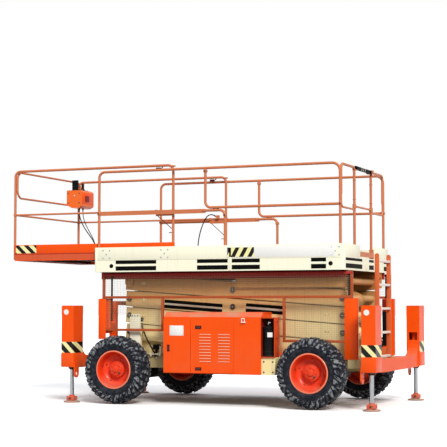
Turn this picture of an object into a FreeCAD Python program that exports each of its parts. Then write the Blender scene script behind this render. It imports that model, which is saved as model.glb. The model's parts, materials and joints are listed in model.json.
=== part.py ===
import FreeCAD, Part
import math
import os

from FreeCAD import Vector

# Rough-terrain scissor lift, stowed, with its extension deck out and its jacks down.
# Lengths are in millimetres. X runs along the machine, -X being the extension end and
# +X the ladder end. Z is up from the ground. Shapes are drawn about the middle of the
# wheelbase, and save() moves them so that the origin is below the middle of the outline.

# Fits
running_gap = 0.05
seat_gap = 0.3
pin_gap = 0.1

# Wheels
wheel_base = 2460.0
tyre_radius = 410.0
tyre_width = 300.0
overall_width = 2290.0
lug_height = 20.0
lug_count = 17
rim_radius = 210.0
rim_flange_radius = 229.0
rim_width = 236.0
spindle_radius = 30.0
wheel_y = overall_width / 2 - tyre_width / 2
wheel_z = tyre_radius
axle_x = wheel_base / 2

# Axles and steering
axle_beam = 110.0
axle_gear_radius = 120.0
kingpin_y = wheel_y - 205.0
kingpin_radius = 24.0
steer_lock = 25.0
fork_gap = 130.0
fork_plate = 22.0
fork_half_x = 45.0
rear_beam_half = wheel_y - 195.0
front_beam_half = kingpin_y - 90.0

# Widths of the deck and the stack
deck_half_width = 923.0
inner_arm_y = deck_half_width - 393.0
arm_thick = 55.0
arm_side_gap = 15.0
outer_arm_y = inner_arm_y + arm_thick + arm_side_gap

# Chassis rails, cross members and end beams
rail_inner_y = inner_arm_y - 30.0
rail_width = 100.0
rail_outer_y = rail_inner_y + rail_width
rail_bottom_z = wheel_z + 10.0
rail_top_z = rail_bottom_z + 140.0
member_height = 100.0
cross_beam_x = 130.0
cross_beam_height = 140.0
rear_member_x = axle_x + 410.0
rear_member_reach = 815.0

# Jacks
jack_shift_x = 27.0
jack_from_axle = tyre_radius + 255.0
jack_front_x = -(axle_x + jack_from_axle) + jack_shift_x
jack_rear_x = axle_x + jack_from_axle + jack_shift_x
jack_y = overall_width / 2 - 175.0
jack_box_x = 165.0
jack_box_y = 240.0
jack_bottom_z = rail_bottom_z + 10.0
jack_top_z = jack_bottom_z + 740.0
jack_wall = 10.0
gusset_rise = 190.0
gusset_reach = 160.0
jack_rod_radius = 25.0
jack_foot = 100.0
jack_pad_radius = 100.0
jack_pad_thick = 18.0
jack_raise = 275.0
jack_extend = 200.0

# Lifting lugs below the wheel side of each jack housing
tie_down_y = jack_y + 60.0
tie_down_z = jack_bottom_z - 78.0
tie_down_width = 100.0
tie_down_thick = 18.0
tie_down_radius = 25.0

# Scissor stack: inner arms rise towards +X, outer arms towards -X
level_count = 4
arm_span = 2730.0
level_rise = 200.0
front_pin_x = -axle_x - 10.0
base_pin_z = rail_top_z + 100.0
arm_height = 186.0
arm_overhang = 50.0
arm_chamfer = 30.0
pin_radius = 25.0
pin_head_radius = 36.0
pin_head = 12.0
tie_tube_radius = 38.0
roller_radius = 60.0
roller_width = 44.0
roller_inner_y = inner_arm_y + 5.0
roller_outer_y = outer_arm_y + 3.0
base_ear_y = inner_arm_y + arm_thick + 6.0
base_ear_thick = 30.0
rear_pin_x = front_pin_x + arm_span
arm_length = math.hypot(arm_span, level_rise)
arm_angle = math.degrees(math.atan2(level_rise, arm_span))
lift_travel = 52.8

# Lift cylinders, between the inner arms of one level and the inner arms of the next
barrel_radius = 55.0
ram_radius = 27.0
ram_foot_along = 2650.0
ram_foot_rise = 60.0
ram_eye_along = 1500.0
ram_eye_rise = 100.0
ram_neck = 75.0
ram_nose = 170.0
ram_eye_radius = 40.0
ram_eye_width = 60.0
ram_pin_radius = 22.0
ear_thick = 16.0

# Main platform
deck_front_x = -1583.0
deck_rear_x = 1597.0
band_bottom_z = base_pin_z + level_count * level_rise + 121.0
band_step_z = band_bottom_z + 141.0
floor_top_z = band_bottom_z + 154.0
band_top_z = band_bottom_z + 298.0
floor_thick = 6.0
band_thick = 18.0
band_corner = 40.0
floor_seam = 3.0
floor_seam_depth = 2.0
flange_width = 72.0
flange_thick = 12.0
joist_count = 5
joist_width = 50.0
joist_height = 109.0
joist_bottom_z = floor_top_z - floor_thick - joist_height
seat_beam_z = band_bottom_z + 4.0
track_front_x = 170.0
track_rear_x = rear_pin_x + 110.0
track_inner_y = inner_arm_y + arm_thick + 7.0
track_outer_y = inner_arm_y + 170.0

# Rails of the platform
rail_tube_radius = 16.0
thin_tube_radius = 12.0
rail_y = deck_half_width - band_thick - rail_tube_radius
top_rail_z = 2807.0
mid_rail_z = floor_top_z + 0.56 * (top_rail_z - floor_top_z)
front_rail_z = mid_rail_z - 35.0
rear_rail_z = top_rail_z - 6.0
end_mid_z = mid_rail_z - 32.0
rail_bend = 70.0
rear_bend = 95.0
post_bend = 60.0
rail_foot = 44.0
foot_top_z = band_top_z - 25.0
platform_rail_front_x = deck_front_x + 34.0
platform_rail_rear_x = deck_rear_x - band_corner - rail_tube_radius
loop_post_x = -133.0
low_post_x = 120.0

# Entry between the rear posts
entry_post_y = 343.0
entry_door_y = entry_post_y - 30.0
entry_bar_radius = 24.0
entry_hinge_y = entry_post_y - rail_tube_radius - 35.0
entry_hinge_radius = 8.0
collar_radius = 23.0
collar_height = 50.0
collar_z = end_mid_z + thin_tube_radius + seat_gap
entry_mid_travel = rear_rail_z - post_bend - collar_z - collar_height - 5.0

# Extension deck
ext_out = 1174.0
ext_front_x = deck_front_x - ext_out
ext_rear_x = -550.0
ext_half_width = deck_half_width - 61.0
slide_gap = 0.3
ext_band_bottom_z = floor_top_z + slide_gap
ext_band_thick = 14.0
ext_band_top_z = band_top_z + 54.0
ext_floor_z = floor_top_z + 55.0
ext_joist_count = 4
ext_panel_front_x = ext_front_x + 600.0
ext_rail_y = ext_half_width - ext_band_thick - rail_tube_radius
ext_rail_z = top_rail_z + 58.0
ext_mid_z = mid_rail_z - 20.0
ext_rail_front_x = ext_front_x - rail_tube_radius - seat_gap
ext_rail_rear_x = ext_rear_x - 28.0
ext_travel = ext_out - 5.0
front_loop_radius = 13.0
front_loop_bend = 100.0
front_loop_x = ext_rail_front_x + rail_tube_radius + front_loop_radius + seat_gap
front_loop_top_z = ext_rail_z - 8.0
front_loop_low_z = ext_mid_z + 0.4 * (front_loop_top_z - ext_mid_z)

# Control box on the front rails
control_x0 = front_loop_x + front_loop_radius + 4.0
control_x1 = control_x0 + 228.0
control_y0 = 410.0
control_y1 = 750.0
control_z1 = ext_rail_z - 142.0
control_z0 = control_z1 - 197.0
control_keel_z = control_z0 - 40.0

# Side boxes for the engine and the tanks
box_front_x = -(axle_x - tyre_radius - 220.0)
box_rear_x = axle_x - tyre_radius - 190.0
box_outer_y = overall_width / 2 - 85.0
box_inner_y = box_outer_y - 370.0
box_bottom_z = rail_bottom_z - 40.0
box_top_z = box_bottom_z + 665.0
box_lip_z = box_top_z + 50.0
box_wall = 5.0
door_thick = 22.0
door_gap = 6.0
door_seat_gap = 0.4
door_split_x = box_front_x + 352.0
door_rear_x = box_rear_x - 329.0
louvre_count = 10
louvre_pitch = 35.0
louvre_height = 14.0
bay_length = 170.0
canister_radius = 66.0

# Guards of wire mesh beside the stack
guard_y = inner_arm_y + 270.0
guard_bar = 30.0
guard_front_x = -(axle_x + 310.0)
guard_rear_x = axle_x + 430.0
guard_top_z = band_bottom_z - 16.0
guard_mid_z = guard_top_z - 275.0
guard_front_field_x = -(axle_x - 515.0)
guard_rear_field_x = axle_x - 420.0
guard_front_field_z = guard_mid_z - 425.0
guard_rear_field_z = guard_mid_z - 540.0
guard_wire = 5.0
guard_pitch = 62.0

# End frames that carry the guards
frame_width = 150.0
frame_post = 90.0
frame_front_x = -(axle_x + 362.0)
frame_rear_x = axle_x + 330.0
frame_post_y0 = inner_arm_y - 10.0
frame_post_y1 = inner_arm_y + 50.0
frame_inner_y = guard_y - 45.0
frame_outer_y = guard_y - guard_bar / 2 - seat_gap
frame_bar_z = guard_mid_z - 110.0
frame_bar_height = 50.0

# Ladder
ladder_x = jack_rear_x - 165.0
ladder_width = 515.0
ladder_depth = 55.0
ladder_plate = 12.0
ladder_bottom_z = rail_top_z - 20.0
ladder_top_z = band_bottom_z + 179.0
ladder_bracket = 28.0
first_rung_z = ladder_bottom_z + 37.0
rung_pitch = 281.0
rung_height = 28.0
rung_count = 5

# Cables and hose: diameters, and their routes as points of x, y, z
cable_1_diameter = 14.0
cable_2_diameter = 11.0
hose_diameter = 14.0
gland_height = 18.0
cable_top_z = control_keel_z - gland_height
cable_end_z = ext_floor_z + gland_height
cable_1_route = [
    (-2600.0, 530.0, cable_top_z), (-2600.0, 530.0, 2400.0), (-2570.0, 518.0, 2327.0),
    (-2527.0, 505.0, 2252.0), (-2470.0, 495.0, 2175.0), (-2405.0, 485.0, 2103.0),
    (-2346.0, 476.0, 2028.0), (-2312.0, 466.0, 1945.0), (-2304.0, 460.0, 1872.0),
    (-2304.0, 460.0, cable_end_z),
]
cable_2_route = [
    (-2562.0, 562.0, cable_top_z), (-2562.0, 562.0, 2402.0), (-2541.0, 553.0, 2332.0),
    (-2505.0, 545.0, 2259.0), (-2458.0, 537.0, 2186.0), (-2406.0, 527.0, 2111.0),
    (-2360.0, 516.0, 2031.0), (-2332.0, 506.0, 1950.0), (-2320.0, 500.0, 1873.0),
    (-2320.0, 500.0, cable_end_z),
]
hose_route = [
    (-715.0, 797.0, 2350.0), (-751.0, 797.0, 2371.0), (-793.0, 797.0, 2373.0),
    (-833.0, 797.0, 2353.0), (-862.0, 797.0, 2313.0), (-891.0, 797.0, 2258.0),
    (-920.0, 797.0, 2184.0), (-946.0, 797.0, 2098.0), (-962.0, 797.0, 2000.0),
    (-970.0, 797.0, 1896.0), (-970.0, 797.0, cable_end_z),
]

front_end_x = ext_rail_front_x - rail_tube_radius
rear_end_x = jack_rear_x + jack_pad_radius
frame_shift_x = -(front_end_x + rear_end_x) / 2

parts_folder = "parts"


# Small shape helpers

def box(x0, x1, y0, y1, z0, z1):
    low = Vector(min(x0, x1), min(y0, y1), min(z0, z1))
    return Part.makeBox(abs(x1 - x0), abs(y1 - y0), abs(z1 - z0), low)


def block(x, y, z, sx, sy, sz):
    return box(x - sx / 2, x + sx / 2, y - sy / 2, y + sy / 2, z - sz / 2, z + sz / 2)


def rod_x(radius, x0, x1, y, z):
    return Part.makeCylinder(radius, abs(x1 - x0), Vector(min(x0, x1), y, z), Vector(1, 0, 0))


def rod_y(radius, y0, y1, x, z):
    return Part.makeCylinder(radius, abs(y1 - y0), Vector(x, min(y0, y1), z), Vector(0, 1, 0))


def rod_z(radius, z0, z1, x, y):
    return Part.makeCylinder(radius, abs(z1 - z0), Vector(x, y, min(z0, z1)), Vector(0, 0, 1))


def bar(radius, start, end):
    run = end - start
    return Part.makeCylinder(radius, run.Length, start, run)


def join(shapes):
    first = shapes[0]
    if len(shapes) == 1:
        return first
    return first.multiFuse(shapes[1:]).removeSplitter()


def flip_y(shape):
    return shape.mirror(Vector(0, 0, 0), Vector(0, 1, 0))


def flip_x(shape):
    return shape.mirror(Vector(0, 0, 0), Vector(1, 0, 0))


def both_sides(shape):
    return [shape, flip_y(shape)]


def prism_y(points, y0, y1):
    """A plate from an outline of (x, z) points, from y0 to y1."""
    low = min(y0, y1)
    corners = [Vector(x, low, z) for x, z in points]
    face = Part.Face(Part.makePolygon(corners + corners[:1]))
    return face.extrude(Vector(0, abs(y1 - y0), 0))


def prism_x(points, x0, x1):
    """A plate from an outline of (y, z) points, from x0 to x1."""
    low = min(x0, x1)
    corners = [Vector(low, y, z) for y, z in points]
    face = Part.Face(Part.makePolygon(corners + corners[:1]))
    return face.extrude(Vector(abs(x1 - x0), 0, 0))


def bent_tube(points, radius, bends):
    """A round tube through the points, with an arc of the given radius at each corner."""
    if not isinstance(bends, list):
        bends = [bends] * (len(points) - 2)
    edges = []
    start = points[0]
    for before, corner, after, bend in zip(points, points[1:], points[2:], bends):
        into = (corner - before).normalize()
        out = (after - corner).normalize()
        turn = into.getAngle(out)
        setback = bend * math.tan(turn / 2)
        arc_start = corner - into * setback
        arc_end = corner + out * setback
        half = (out - into).normalize()
        middle = corner + half * (bend / math.cos(turn / 2) - bend)
        edges.append(Part.LineSegment(start, arc_start).toShape())
        edges.append(Part.Arc(arc_start, middle, arc_end).toShape())
        start = arc_end
    edges.append(Part.LineSegment(start, points[-1]).toShape())
    path = Part.Wire(edges)
    ring = Part.Wire(Part.Circle(points[0], points[1] - points[0], radius).toShape())
    return path.makePipeShell([ring], True, False)


def floor_plate(shape, x0, x1, half_y, top_z):
    """Cuts the seam round the middle sheet of a floor."""
    outside = box(x0, x1, -half_y, half_y, top_z - floor_seam_depth, top_z + 1)
    inside = box(x0 + floor_seam, x1 - floor_seam, -half_y + floor_seam, half_y - floor_seam,
                 top_z - floor_seam_depth, top_z + 1)
    return shape.cut(outside.cut(inside))


def save(name, shape):
    moved = shape.copy()
    moved.translate(Vector(frame_shift_x, 0, 0))
    moved.exportStep(os.path.join(parts_folder, name + ".step"))


# Wheels

def tyre():
    """Tyre about the Y axis at the origin: carcass and two rows of chevron lugs."""
    half = tyre_width / 2
    tread = tyre_radius - lug_height
    # radius, y
    section = [
        (rim_radius + 0.3, -rim_width / 2 + 12),
        (rim_radius + 50, -half + 18),
        (tread - 60, -half),
        (tread - 14, -half + 12),
        (tread, -half + 45),
        (tread, half - 45),
        (tread - 14, half - 12),
        (tread - 60, half),
        (rim_radius + 50, half - 18),
        (rim_radius + 0.3, rim_width / 2 - 12),
    ]
    corners = [Vector(0, y, radius) for radius, y in section]
    face = Part.Face(Part.makePolygon(corners + corners[:1]))
    carcass = face.revolve(Vector(0, 0, 0), Vector(0, 1, 0), 360)
    pitch = 360.0 / lug_count
    lug_long = 44.0
    sweep = 62.0
    lugs = []
    for side, phase in ((1, 0.0), (-1, 0.5)):
        # along the tread, across the tread
        outline = [
            (0, -6 * side),
            (lug_long, -6 * side),
            (lug_long - sweep, (half - 4) * side),
            (-sweep - 8, (half - 4) * side),
        ]
        corners = [Vector(x, y, tread - 30) for x, y in outline]
        face = Part.Face(Part.makePolygon(corners + corners[:1]))
        lug = face.extrude(Vector(0, 0, lug_height + 30 - 1))
        shoulder = prism_x([((half - 30) * side, tyre_radius + 5), ((half + 5) * side, tyre_radius + 5),
                            ((half + 5) * side, tread - 10)], -120, 120)
        lug = lug.cut(shoulder)
        for number in range(lug_count):
            copy = lug.copy()
            copy.rotate(Vector(0, 0, 0), Vector(0, 1, 0), (number + phase) * pitch)
            lugs.append(copy)
    reach = Part.makeCylinder(tyre_radius, tyre_width + 20, Vector(0, -half - 10, 0), Vector(0, 1, 0))
    blocks = Part.makeCompound(lugs).common(reach)
    return carcass.multiFuse(blocks.Solids).removeSplitter()


def rim():
    """Dished rim about the Y axis at the origin, its open face towards +Y."""
    half = rim_width / 2
    # radius, y
    section = [
        (spindle_radius + running_gap, -70),
        (78, -70),
        (78, -30),
        (150, -42),
        (192, -12),
        (192, -half + 6),
        (214, -half - 8),
        (rim_flange_radius, -half - 8),
        (rim_flange_radius, -half),
        (rim_radius, -half + 9),
        (rim_radius, half - 9),
        (rim_flange_radius, half),
        (rim_flange_radius, half + 8),
        (214, half + 8),
        (198, half - 8),
        (198, 6),
        (150, -28),
        (96, -16),
        (96, 34),
        (84, 46),
        (spindle_radius + running_gap, 46),
    ]
    corners = [Vector(0, y, radius) for radius, y in section]
    face = Part.Face(Part.makePolygon(corners + corners[:1]))
    disc = face.revolve(Vector(0, 0, 0), Vector(0, 1, 0), 360)
    holes = []
    hand_hole_count = 5
    for number in range(hand_hole_count):
        hole = rod_y(15, -60, 20, 0, 171)
        hole.rotate(Vector(0, 0, 0), Vector(0, 1, 0), number * 360.0 / hand_hole_count)
        holes.append(hole)
    return disc.cut(Part.makeCompound(holes))


def wheel_places():
    # name, x, y
    return [
        ("front_near", -axle_x, -wheel_y),
        ("front_far", -axle_x, wheel_y),
        ("rear_near", axle_x, -wheel_y),
        ("rear_far", axle_x, wheel_y),
    ]


def make_wheels():
    one_tyre = tyre()
    one_rim = rim()
    for name, x, y in wheel_places():
        for kind, shape in (("tyre", one_tyre), ("rim", one_rim)):
            piece = shape if y > 0 else flip_y(shape)
            piece = piece.copy()
            piece.translate(Vector(x, y, wheel_z))
            save(kind + "_" + name, piece)


# Axles and knuckles

def spindle(y0, flange_y):
    """Far-side stub at the wheel's centre: its shaft from y0, its flange from flange_y."""
    shaft = rod_y(spindle_radius, y0, wheel_y + 60, 0, wheel_z)
    flange = rod_y(62, flange_y, wheel_y - 70 - 0.5, 0, wheel_z)
    nut = rod_y(24, wheel_y + 60, wheel_y + 72, 0, wheel_z)
    return join([shaft, flange, nut])


def axle_body(x, half_length):
    """Beam, middle gear case and the two blocks that seat under the rails."""
    beam = block(x, 0, wheel_z, axle_beam, 2 * half_length, axle_beam)
    gear = rod_y(axle_gear_radius, -110, 110, x, wheel_z - 20)
    mounts = both_sides(box(x - 90, x + 90, rail_inner_y + 10, rail_outer_y - 10, wheel_z, rail_bottom_z))
    return [beam, gear] + mounts


def make_rear_axle():
    ends = both_sides(spindle(rear_beam_half - 5, rear_beam_half - 5))
    for end in ends:
        end.translate(Vector(axle_x, 0, 0))
    save("rear_axle", join(axle_body(axle_x, rear_beam_half) + ends))


def make_front_axle():
    plates = []
    for side in (1, -1):
        web = box(-axle_x - fork_half_x, -axle_x + fork_half_x, side * (kingpin_y - 100), side * (kingpin_y - 68),
                  wheel_z - fork_gap / 2 - fork_plate, wheel_z + fork_gap / 2 + fork_plate)
        plates.append(web)
        for level in (1, -1):
            z0 = wheel_z + level * (fork_gap / 2)
            z1 = z0 + level * fork_plate
            plates.append(box(-axle_x - fork_half_x, -axle_x + fork_half_x,
                              side * front_beam_half, side * kingpin_y, z0, z1))
            plates.append(rod_z(fork_half_x, z0, z1, -axle_x, side * kingpin_y))
    body = join(axle_body(-axle_x, front_beam_half) + plates)
    for side in (1, -1):
        hole = rod_z(kingpin_radius + running_gap, wheel_z - 150, wheel_z + 150, -axle_x, side * kingpin_y)
        body = body.cut(hole)
    save("front_axle", body)


def knuckle():
    """Far-side knuckle: a barrel on the kingpin, the spindle and the steering arm."""
    half = fork_gap / 2 - 2
    barrel = rod_z(42, wheel_z - half, wheel_z + half, -axle_x, kingpin_y)
    pin = rod_z(kingpin_radius, wheel_z - half - fork_plate - 8, wheel_z + half + fork_plate + 8,
                -axle_x, kingpin_y)
    stub = spindle(kingpin_y, kingpin_y + fork_half_x + 12)
    stub.translate(Vector(-axle_x, 0, 0))
    arm_x = -axle_x + 150
    arm = box(-axle_x, arm_x, kingpin_y - 25, kingpin_y + 15, wheel_z - 42, wheel_z - 22)
    eye = rod_z(24, wheel_z - 42, wheel_z - 22, arm_x, kingpin_y - 5)
    return join([barrel, pin, stub, arm, eye])


def make_knuckles():
    far = knuckle()
    save("knuckle_far", far)
    save("knuckle_near", flip_y(far))


# Chassis

def rail_pieces(side):
    """One chassis rail between the end beams, with a saddle over each axle beam."""
    y0 = side * rail_inner_y
    y1 = side * rail_outer_y
    saddle = axle_beam / 2 + seat_gap
    cuts = [jack_front_x + cross_beam_x / 2, -axle_x - saddle, -axle_x + saddle,
            axle_x - saddle, axle_x + saddle, jack_rear_x - cross_beam_x / 2]
    pieces = []
    for number, (x0, x1) in enumerate(zip(cuts, cuts[1:])):
        over_axle = number % 2 == 1
        z0 = wheel_z + saddle if over_axle else rail_bottom_z
        pieces.append(box(x0, x1, y0, y1, z0, rail_top_z))
    return pieces


def make_chassis():
    """Welded frame of rails, end beams, cross members and brackets, each a piece by itself."""
    pieces = []
    for side in (1, -1):
        pieces += rail_pieces(side)
    beam_half = jack_y - jack_box_y / 2
    for x in (jack_front_x, jack_rear_x):
        pieces.append(block(x, 0, rail_top_z - cross_beam_height / 2,
                            cross_beam_x, 2 * beam_half, cross_beam_height))
    middle_z = (rail_bottom_z + rail_top_z) / 2
    # x, width and middle height of each cross member between the rails
    members = [(-(axle_x + 285), 90, middle_z), (box_front_x - 20, 80, middle_z), (0, 80, middle_z),
               (box_rear_x + 10, 80, middle_z), (rear_member_x, 90, rail_top_z - member_height / 2)]
    for x, width, z in members:
        pieces.append(block(x, 0, z, width, 2 * rail_inner_y, member_height))
    # brackets for the side boxes: x of each
    for x in (box_front_x + 150, 0, box_rear_x - 150):
        for side in (1, -1):
            pieces.append(box(x - 30, x + 30, side * rail_outer_y, side * box_inner_y,
                              rail_bottom_z + 10, rail_bottom_z + 60))
    # stubs that carry the rear columns
    for side in (1, -1):
        pieces.append(box(rear_member_x - 45, rear_member_x + 45, side * rail_outer_y, side * rear_member_reach,
                          rail_top_z - member_height, rail_top_z))
    save("chassis_frame", Part.makeCompound(pieces))


def jack_housing():
    """Far rear jack about X = 0: housing with its window inwards and its guide, gusset and lug."""
    x0 = -jack_box_x / 2
    x1 = jack_box_x / 2
    y0 = jack_y - jack_box_y / 2
    y1 = jack_y + jack_box_y / 2
    shell = box(x0, x1, y0, y1, jack_bottom_z, jack_top_z)
    shell = shell.cut(box(x0 + jack_wall, x1 - jack_wall, y0 + jack_wall, y1 - jack_wall,
                          jack_bottom_z + 90, jack_top_z - jack_wall))
    window = box(x0 + 30, x1 - 30, y0 - 1, y0 + jack_wall + 1, jack_bottom_z + 260, jack_bottom_z + 415)
    shell = shell.cut(window)
    barrel = rod_z(46, jack_bottom_z + 85, jack_top_z - 5, 0, jack_y)
    bore = rod_z(jack_rod_radius + pin_gap, jack_bottom_z - 1, jack_top_z - 30, 0, jack_y)
    shell = join([shell, barrel]).cut(bore)
    outline = [(y0, rail_top_z), (y0, rail_top_z + gusset_rise)]
    for step in range(1, 7):
        turn = math.radians(step * 15)
        outline.append((y0 - gusset_reach * (1 - math.cos(turn)),
                        rail_top_z + gusset_rise * (1 - math.sin(turn))))
    gusset = prism_x(outline, -cross_beam_x / 2, cross_beam_x / 2)
    half = tie_down_width / 2
    lug = join([
        box(x0 - tie_down_thick, x0, tie_down_y - half, tie_down_y + half, tie_down_z, jack_bottom_z + 60),
        rod_x(half, x0 - tie_down_thick, x0, tie_down_y, tie_down_z),
    ])
    lug = lug.cut(rod_x(tie_down_radius, x0 - tie_down_thick - 1, x0 + 1, tie_down_y, tie_down_z))
    return Part.makeCompound([shell, gusset, lug])


def jack_leg():
    """Rod, foot, collar and pad of a jack about the origin."""
    foot_bottom = jack_pad_thick + 7
    foot_top = foot_bottom + 50
    return Part.makeCompound([
        rod_z(jack_pad_radius, 0, jack_pad_thick, 0, 0),
        rod_z(44, jack_pad_thick, foot_bottom, 0, 0),
        block(0, 0, (foot_bottom + foot_top) / 2, jack_foot, jack_foot, foot_top - foot_bottom),
        rod_z(jack_rod_radius, foot_top, 780, 0, 0),
    ])


def make_jacks():
    far_rear = jack_housing()
    leg = jack_leg()
    housings = []
    # name, x, whether at the front, whether near
    places = [
        ("front_near", jack_front_x, True, True),
        ("front_far", jack_front_x, True, False),
        ("rear_near", jack_rear_x, False, True),
        ("rear_far", jack_rear_x, False, False),
    ]
    for name, x, front, near in places:
        housing = flip_x(far_rear) if front else far_rear.copy()
        if near:
            housing = flip_y(housing)
        housing.translate(Vector(x, 0, 0))
        housings += housing.Solids
        piece = leg.copy()
        piece.translate(Vector(x, -jack_y if near else jack_y, 0))
        save("jack_leg_" + name, piece)
    save("jack_housings", Part.makeCompound(housings))


# Scissor stack

def front_pin_z(level):
    return base_pin_z + level * level_rise


def arm_beam(y0, y1, from_x, from_z, to_x, to_z, holes):
    """A beam from one pin to another, with its corners cut and a hole at each given share."""
    run = math.hypot(to_x - from_x, to_z - from_z)
    half = arm_height / 2
    x0 = -arm_overhang
    x1 = run + arm_overhang
    c = arm_chamfer
    outline = [(x0, -half + c), (x0 + c, -half), (x1 - c, -half), (x1, -half + c),
               (x1, half - c), (x1 - c, half), (x0 + c, half), (x0, half - c)]
    beam = prism_y(outline, y0, y1)
    for share in holes:
        beam = beam.cut(rod_y(pin_radius + pin_gap, min(y0, y1) - 1, max(y0, y1) + 1, run * share, 0))
    angle = math.degrees(math.atan2(to_z - from_z, to_x - from_x))
    beam.rotate(Vector(0, 0, 0), Vector(0, 1, 0), -angle)
    beam.translate(Vector(from_x, 0, from_z))
    return beam


def tie_with_pins(x, z, reach):
    """A cross tube between the inner arms, with a headed pin out of each side."""
    tube = rod_y(tie_tube_radius, -inner_arm_y, inner_arm_y, x, z)
    pin = rod_y(pin_radius, -reach, reach, x, z)
    heads = [rod_y(pin_head_radius, side * (reach - pin_head), side * reach, x, z) for side in (1, -1)]
    return [tube, pin] + heads


def along_inner(level, distance, rise):
    """Point on the inner arms of a level: distance along them and rise above their line."""
    c = math.cos(math.radians(arm_angle))
    s = math.sin(math.radians(arm_angle))
    x = front_pin_x + distance * c - rise * s
    z = front_pin_z(level) + distance * s + rise * c
    return x, z


def ear_pair(x, z, tube_x, tube_z):
    """Two ears from a cross tube to a ram's pin."""
    ears = []
    for side in (1, -1):
        y0 = side * (ram_eye_width / 2 + 1)
        y1 = side * (ram_eye_width / 2 + 1 + ear_thick)
        tip = rod_y(ram_eye_radius, y0, y1, x, z)
        root = rod_y(tie_tube_radius + 12, y0, y1, tube_x, tube_z)
        direction = Vector(x - tube_x, 0, z - tube_z)
        across = Vector(-direction.z, 0, direction.x).normalize()
        corners = [
            Vector(x, min(y0, y1), z) + across * ram_eye_radius,
            Vector(x, min(y0, y1), z) - across * ram_eye_radius,
            Vector(tube_x, min(y0, y1), tube_z) - across * (tie_tube_radius + 12),
            Vector(tube_x, min(y0, y1), tube_z) + across * (tie_tube_radius + 12),
        ]
        web = Part.Face(Part.makePolygon(corners + corners[:1])).extrude(Vector(0, ear_thick, 0))
        ear = join([tip, root, web])
        ears.append(ear.cut(rod_y(ram_pin_radius + pin_gap, min(y0, y1) - 1, max(y0, y1) + 1, x, z)))
    return ears


def make_inner_arms(level):
    """Inner arms of a level, from the low front pin to the high rear pin."""
    low_z = front_pin_z(level)
    high_z = front_pin_z(level + 1)
    mid_x = (front_pin_x + rear_pin_x) / 2
    mid_z = (low_z + high_z) / 2
    reach_outer = outer_arm_y + arm_thick + pin_gap + 0.4 + pin_head
    reach_base = base_ear_y + base_ear_thick + 0.5 + pin_head
    shapes = []
    for side in (1, -1):
        y0 = side * inner_arm_y
        y1 = side * (inner_arm_y + arm_thick)
        shapes.append(arm_beam(y0, y1, front_pin_x, low_z, rear_pin_x, high_z, []))
    front_reach = reach_base if level == 0 else reach_outer
    shapes += tie_with_pins(front_pin_x, low_z, front_reach)
    shapes += tie_with_pins(mid_x, mid_z, reach_outer)
    if level == level_count - 1:
        shapes += tie_with_pins(rear_pin_x, high_z, roller_outer_y + roller_width + 0.5 + pin_head)
    else:
        shapes += tie_with_pins(rear_pin_x, high_z, reach_outer)
    if level % 2 == 0:
        foot = along_inner(level, ram_foot_along, ram_foot_rise)
        shapes += ear_pair(foot[0], foot[1], rear_pin_x, high_z)
    else:
        eye = along_inner(level, ram_eye_along, ram_eye_rise)
        shapes += ear_pair(eye[0], eye[1], mid_x, mid_z)
    save("arms_inner_%d" % (level + 1), join(shapes))


def make_outer_arms(level):
    """Outer arms of a level, from the low rear pin to the high front pin."""
    low_z = front_pin_z(level)
    high_z = front_pin_z(level + 1)
    last = level == level_count - 1
    # shares of the length, from the rear pin, that get a hole
    holes = [0.5]
    if level > 0:
        holes.append(0.0)
    if not last:
        holes.append(1.0)
    shapes = []
    for side in (1, -1):
        y0 = side * outer_arm_y
        y1 = side * (outer_arm_y + arm_thick)
        beam = arm_beam(y0, y1, rear_pin_x, low_z, front_pin_x, high_z, holes)
        extra = []
        if level == 0:
            extra.append(rod_y(pin_radius, y0, side * (roller_inner_y - 0.5), rear_pin_x, low_z))
            extra.append(rod_y(pin_head_radius, side * (roller_inner_y - 0.5), side * (roller_inner_y - 10),
                               rear_pin_x, low_z))
        if last:
            extra.append(rod_y(pin_radius, side * (outer_arm_y - 30), side * (outer_arm_y + arm_thick + 30),
                               front_pin_x, high_z))
        shapes.append(join([beam] + extra))
    save("arms_outer_%d" % (level + 1), Part.makeCompound(shapes))


def make_rollers():
    """Rollers: one pair on the lowest outer arms, one pair on the topmost inner arms."""
    low = []
    high = []
    for side in (1, -1):
        roller = rod_y(roller_radius, side * roller_inner_y, side * (roller_inner_y + roller_width),
                       rear_pin_x, base_pin_z)
        bore = rod_y(pin_radius + 0.3, side * (roller_inner_y - 1), side * (roller_inner_y + roller_width + 1),
                     rear_pin_x, base_pin_z)
        low.append(roller.cut(bore))
        top_z = front_pin_z(level_count)
        roller = rod_y(roller_radius, side * roller_outer_y, side * (roller_outer_y + roller_width),
                       rear_pin_x, top_z)
        bore = rod_y(pin_radius + 0.3, side * (roller_outer_y - 1), side * (roller_outer_y + roller_width + 1),
                     rear_pin_x, top_z)
        high.append(roller.cut(bore))
    save("rollers_low", Part.makeCompound(low))
    save("rollers_high", Part.makeCompound(high))


def make_base_seats():
    """Front pivot ears and rear tracks on the chassis rails."""
    shapes = []
    x0 = front_pin_x - 60
    x1 = front_pin_x + 60
    for side in (1, -1):
        y0 = side * base_ear_y
        y1 = side * (base_ear_y + base_ear_thick)
        ear = join([
            box(x0, x1, y0, y1, rail_top_z - 60, base_pin_z),
            rod_y(60, y0, y1, front_pin_x, base_pin_z),
            box(x0, x1, side * rail_outer_y, y1, rail_top_z - 60, rail_top_z),
        ])
        ear = ear.cut(box(x0 - 10, x1 + 10, side * rail_inner_y, side * rail_outer_y, rail_top_z - 80, rail_top_z))
        ear = ear.cut(rod_y(pin_radius + pin_gap, min(y0, y1) - 1, max(y0, y1) + 1, front_pin_x, base_pin_z))
        shapes.append(ear)
        track = box(track_front_x, track_rear_x, side * (rail_inner_y + 8), side * (rail_outer_y - 2),
                    rail_top_z, base_pin_z - roller_radius - 0.5)
        shapes.append(track)
    save("base_seats", Part.makeCompound(shapes))


# Lift rams

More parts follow.
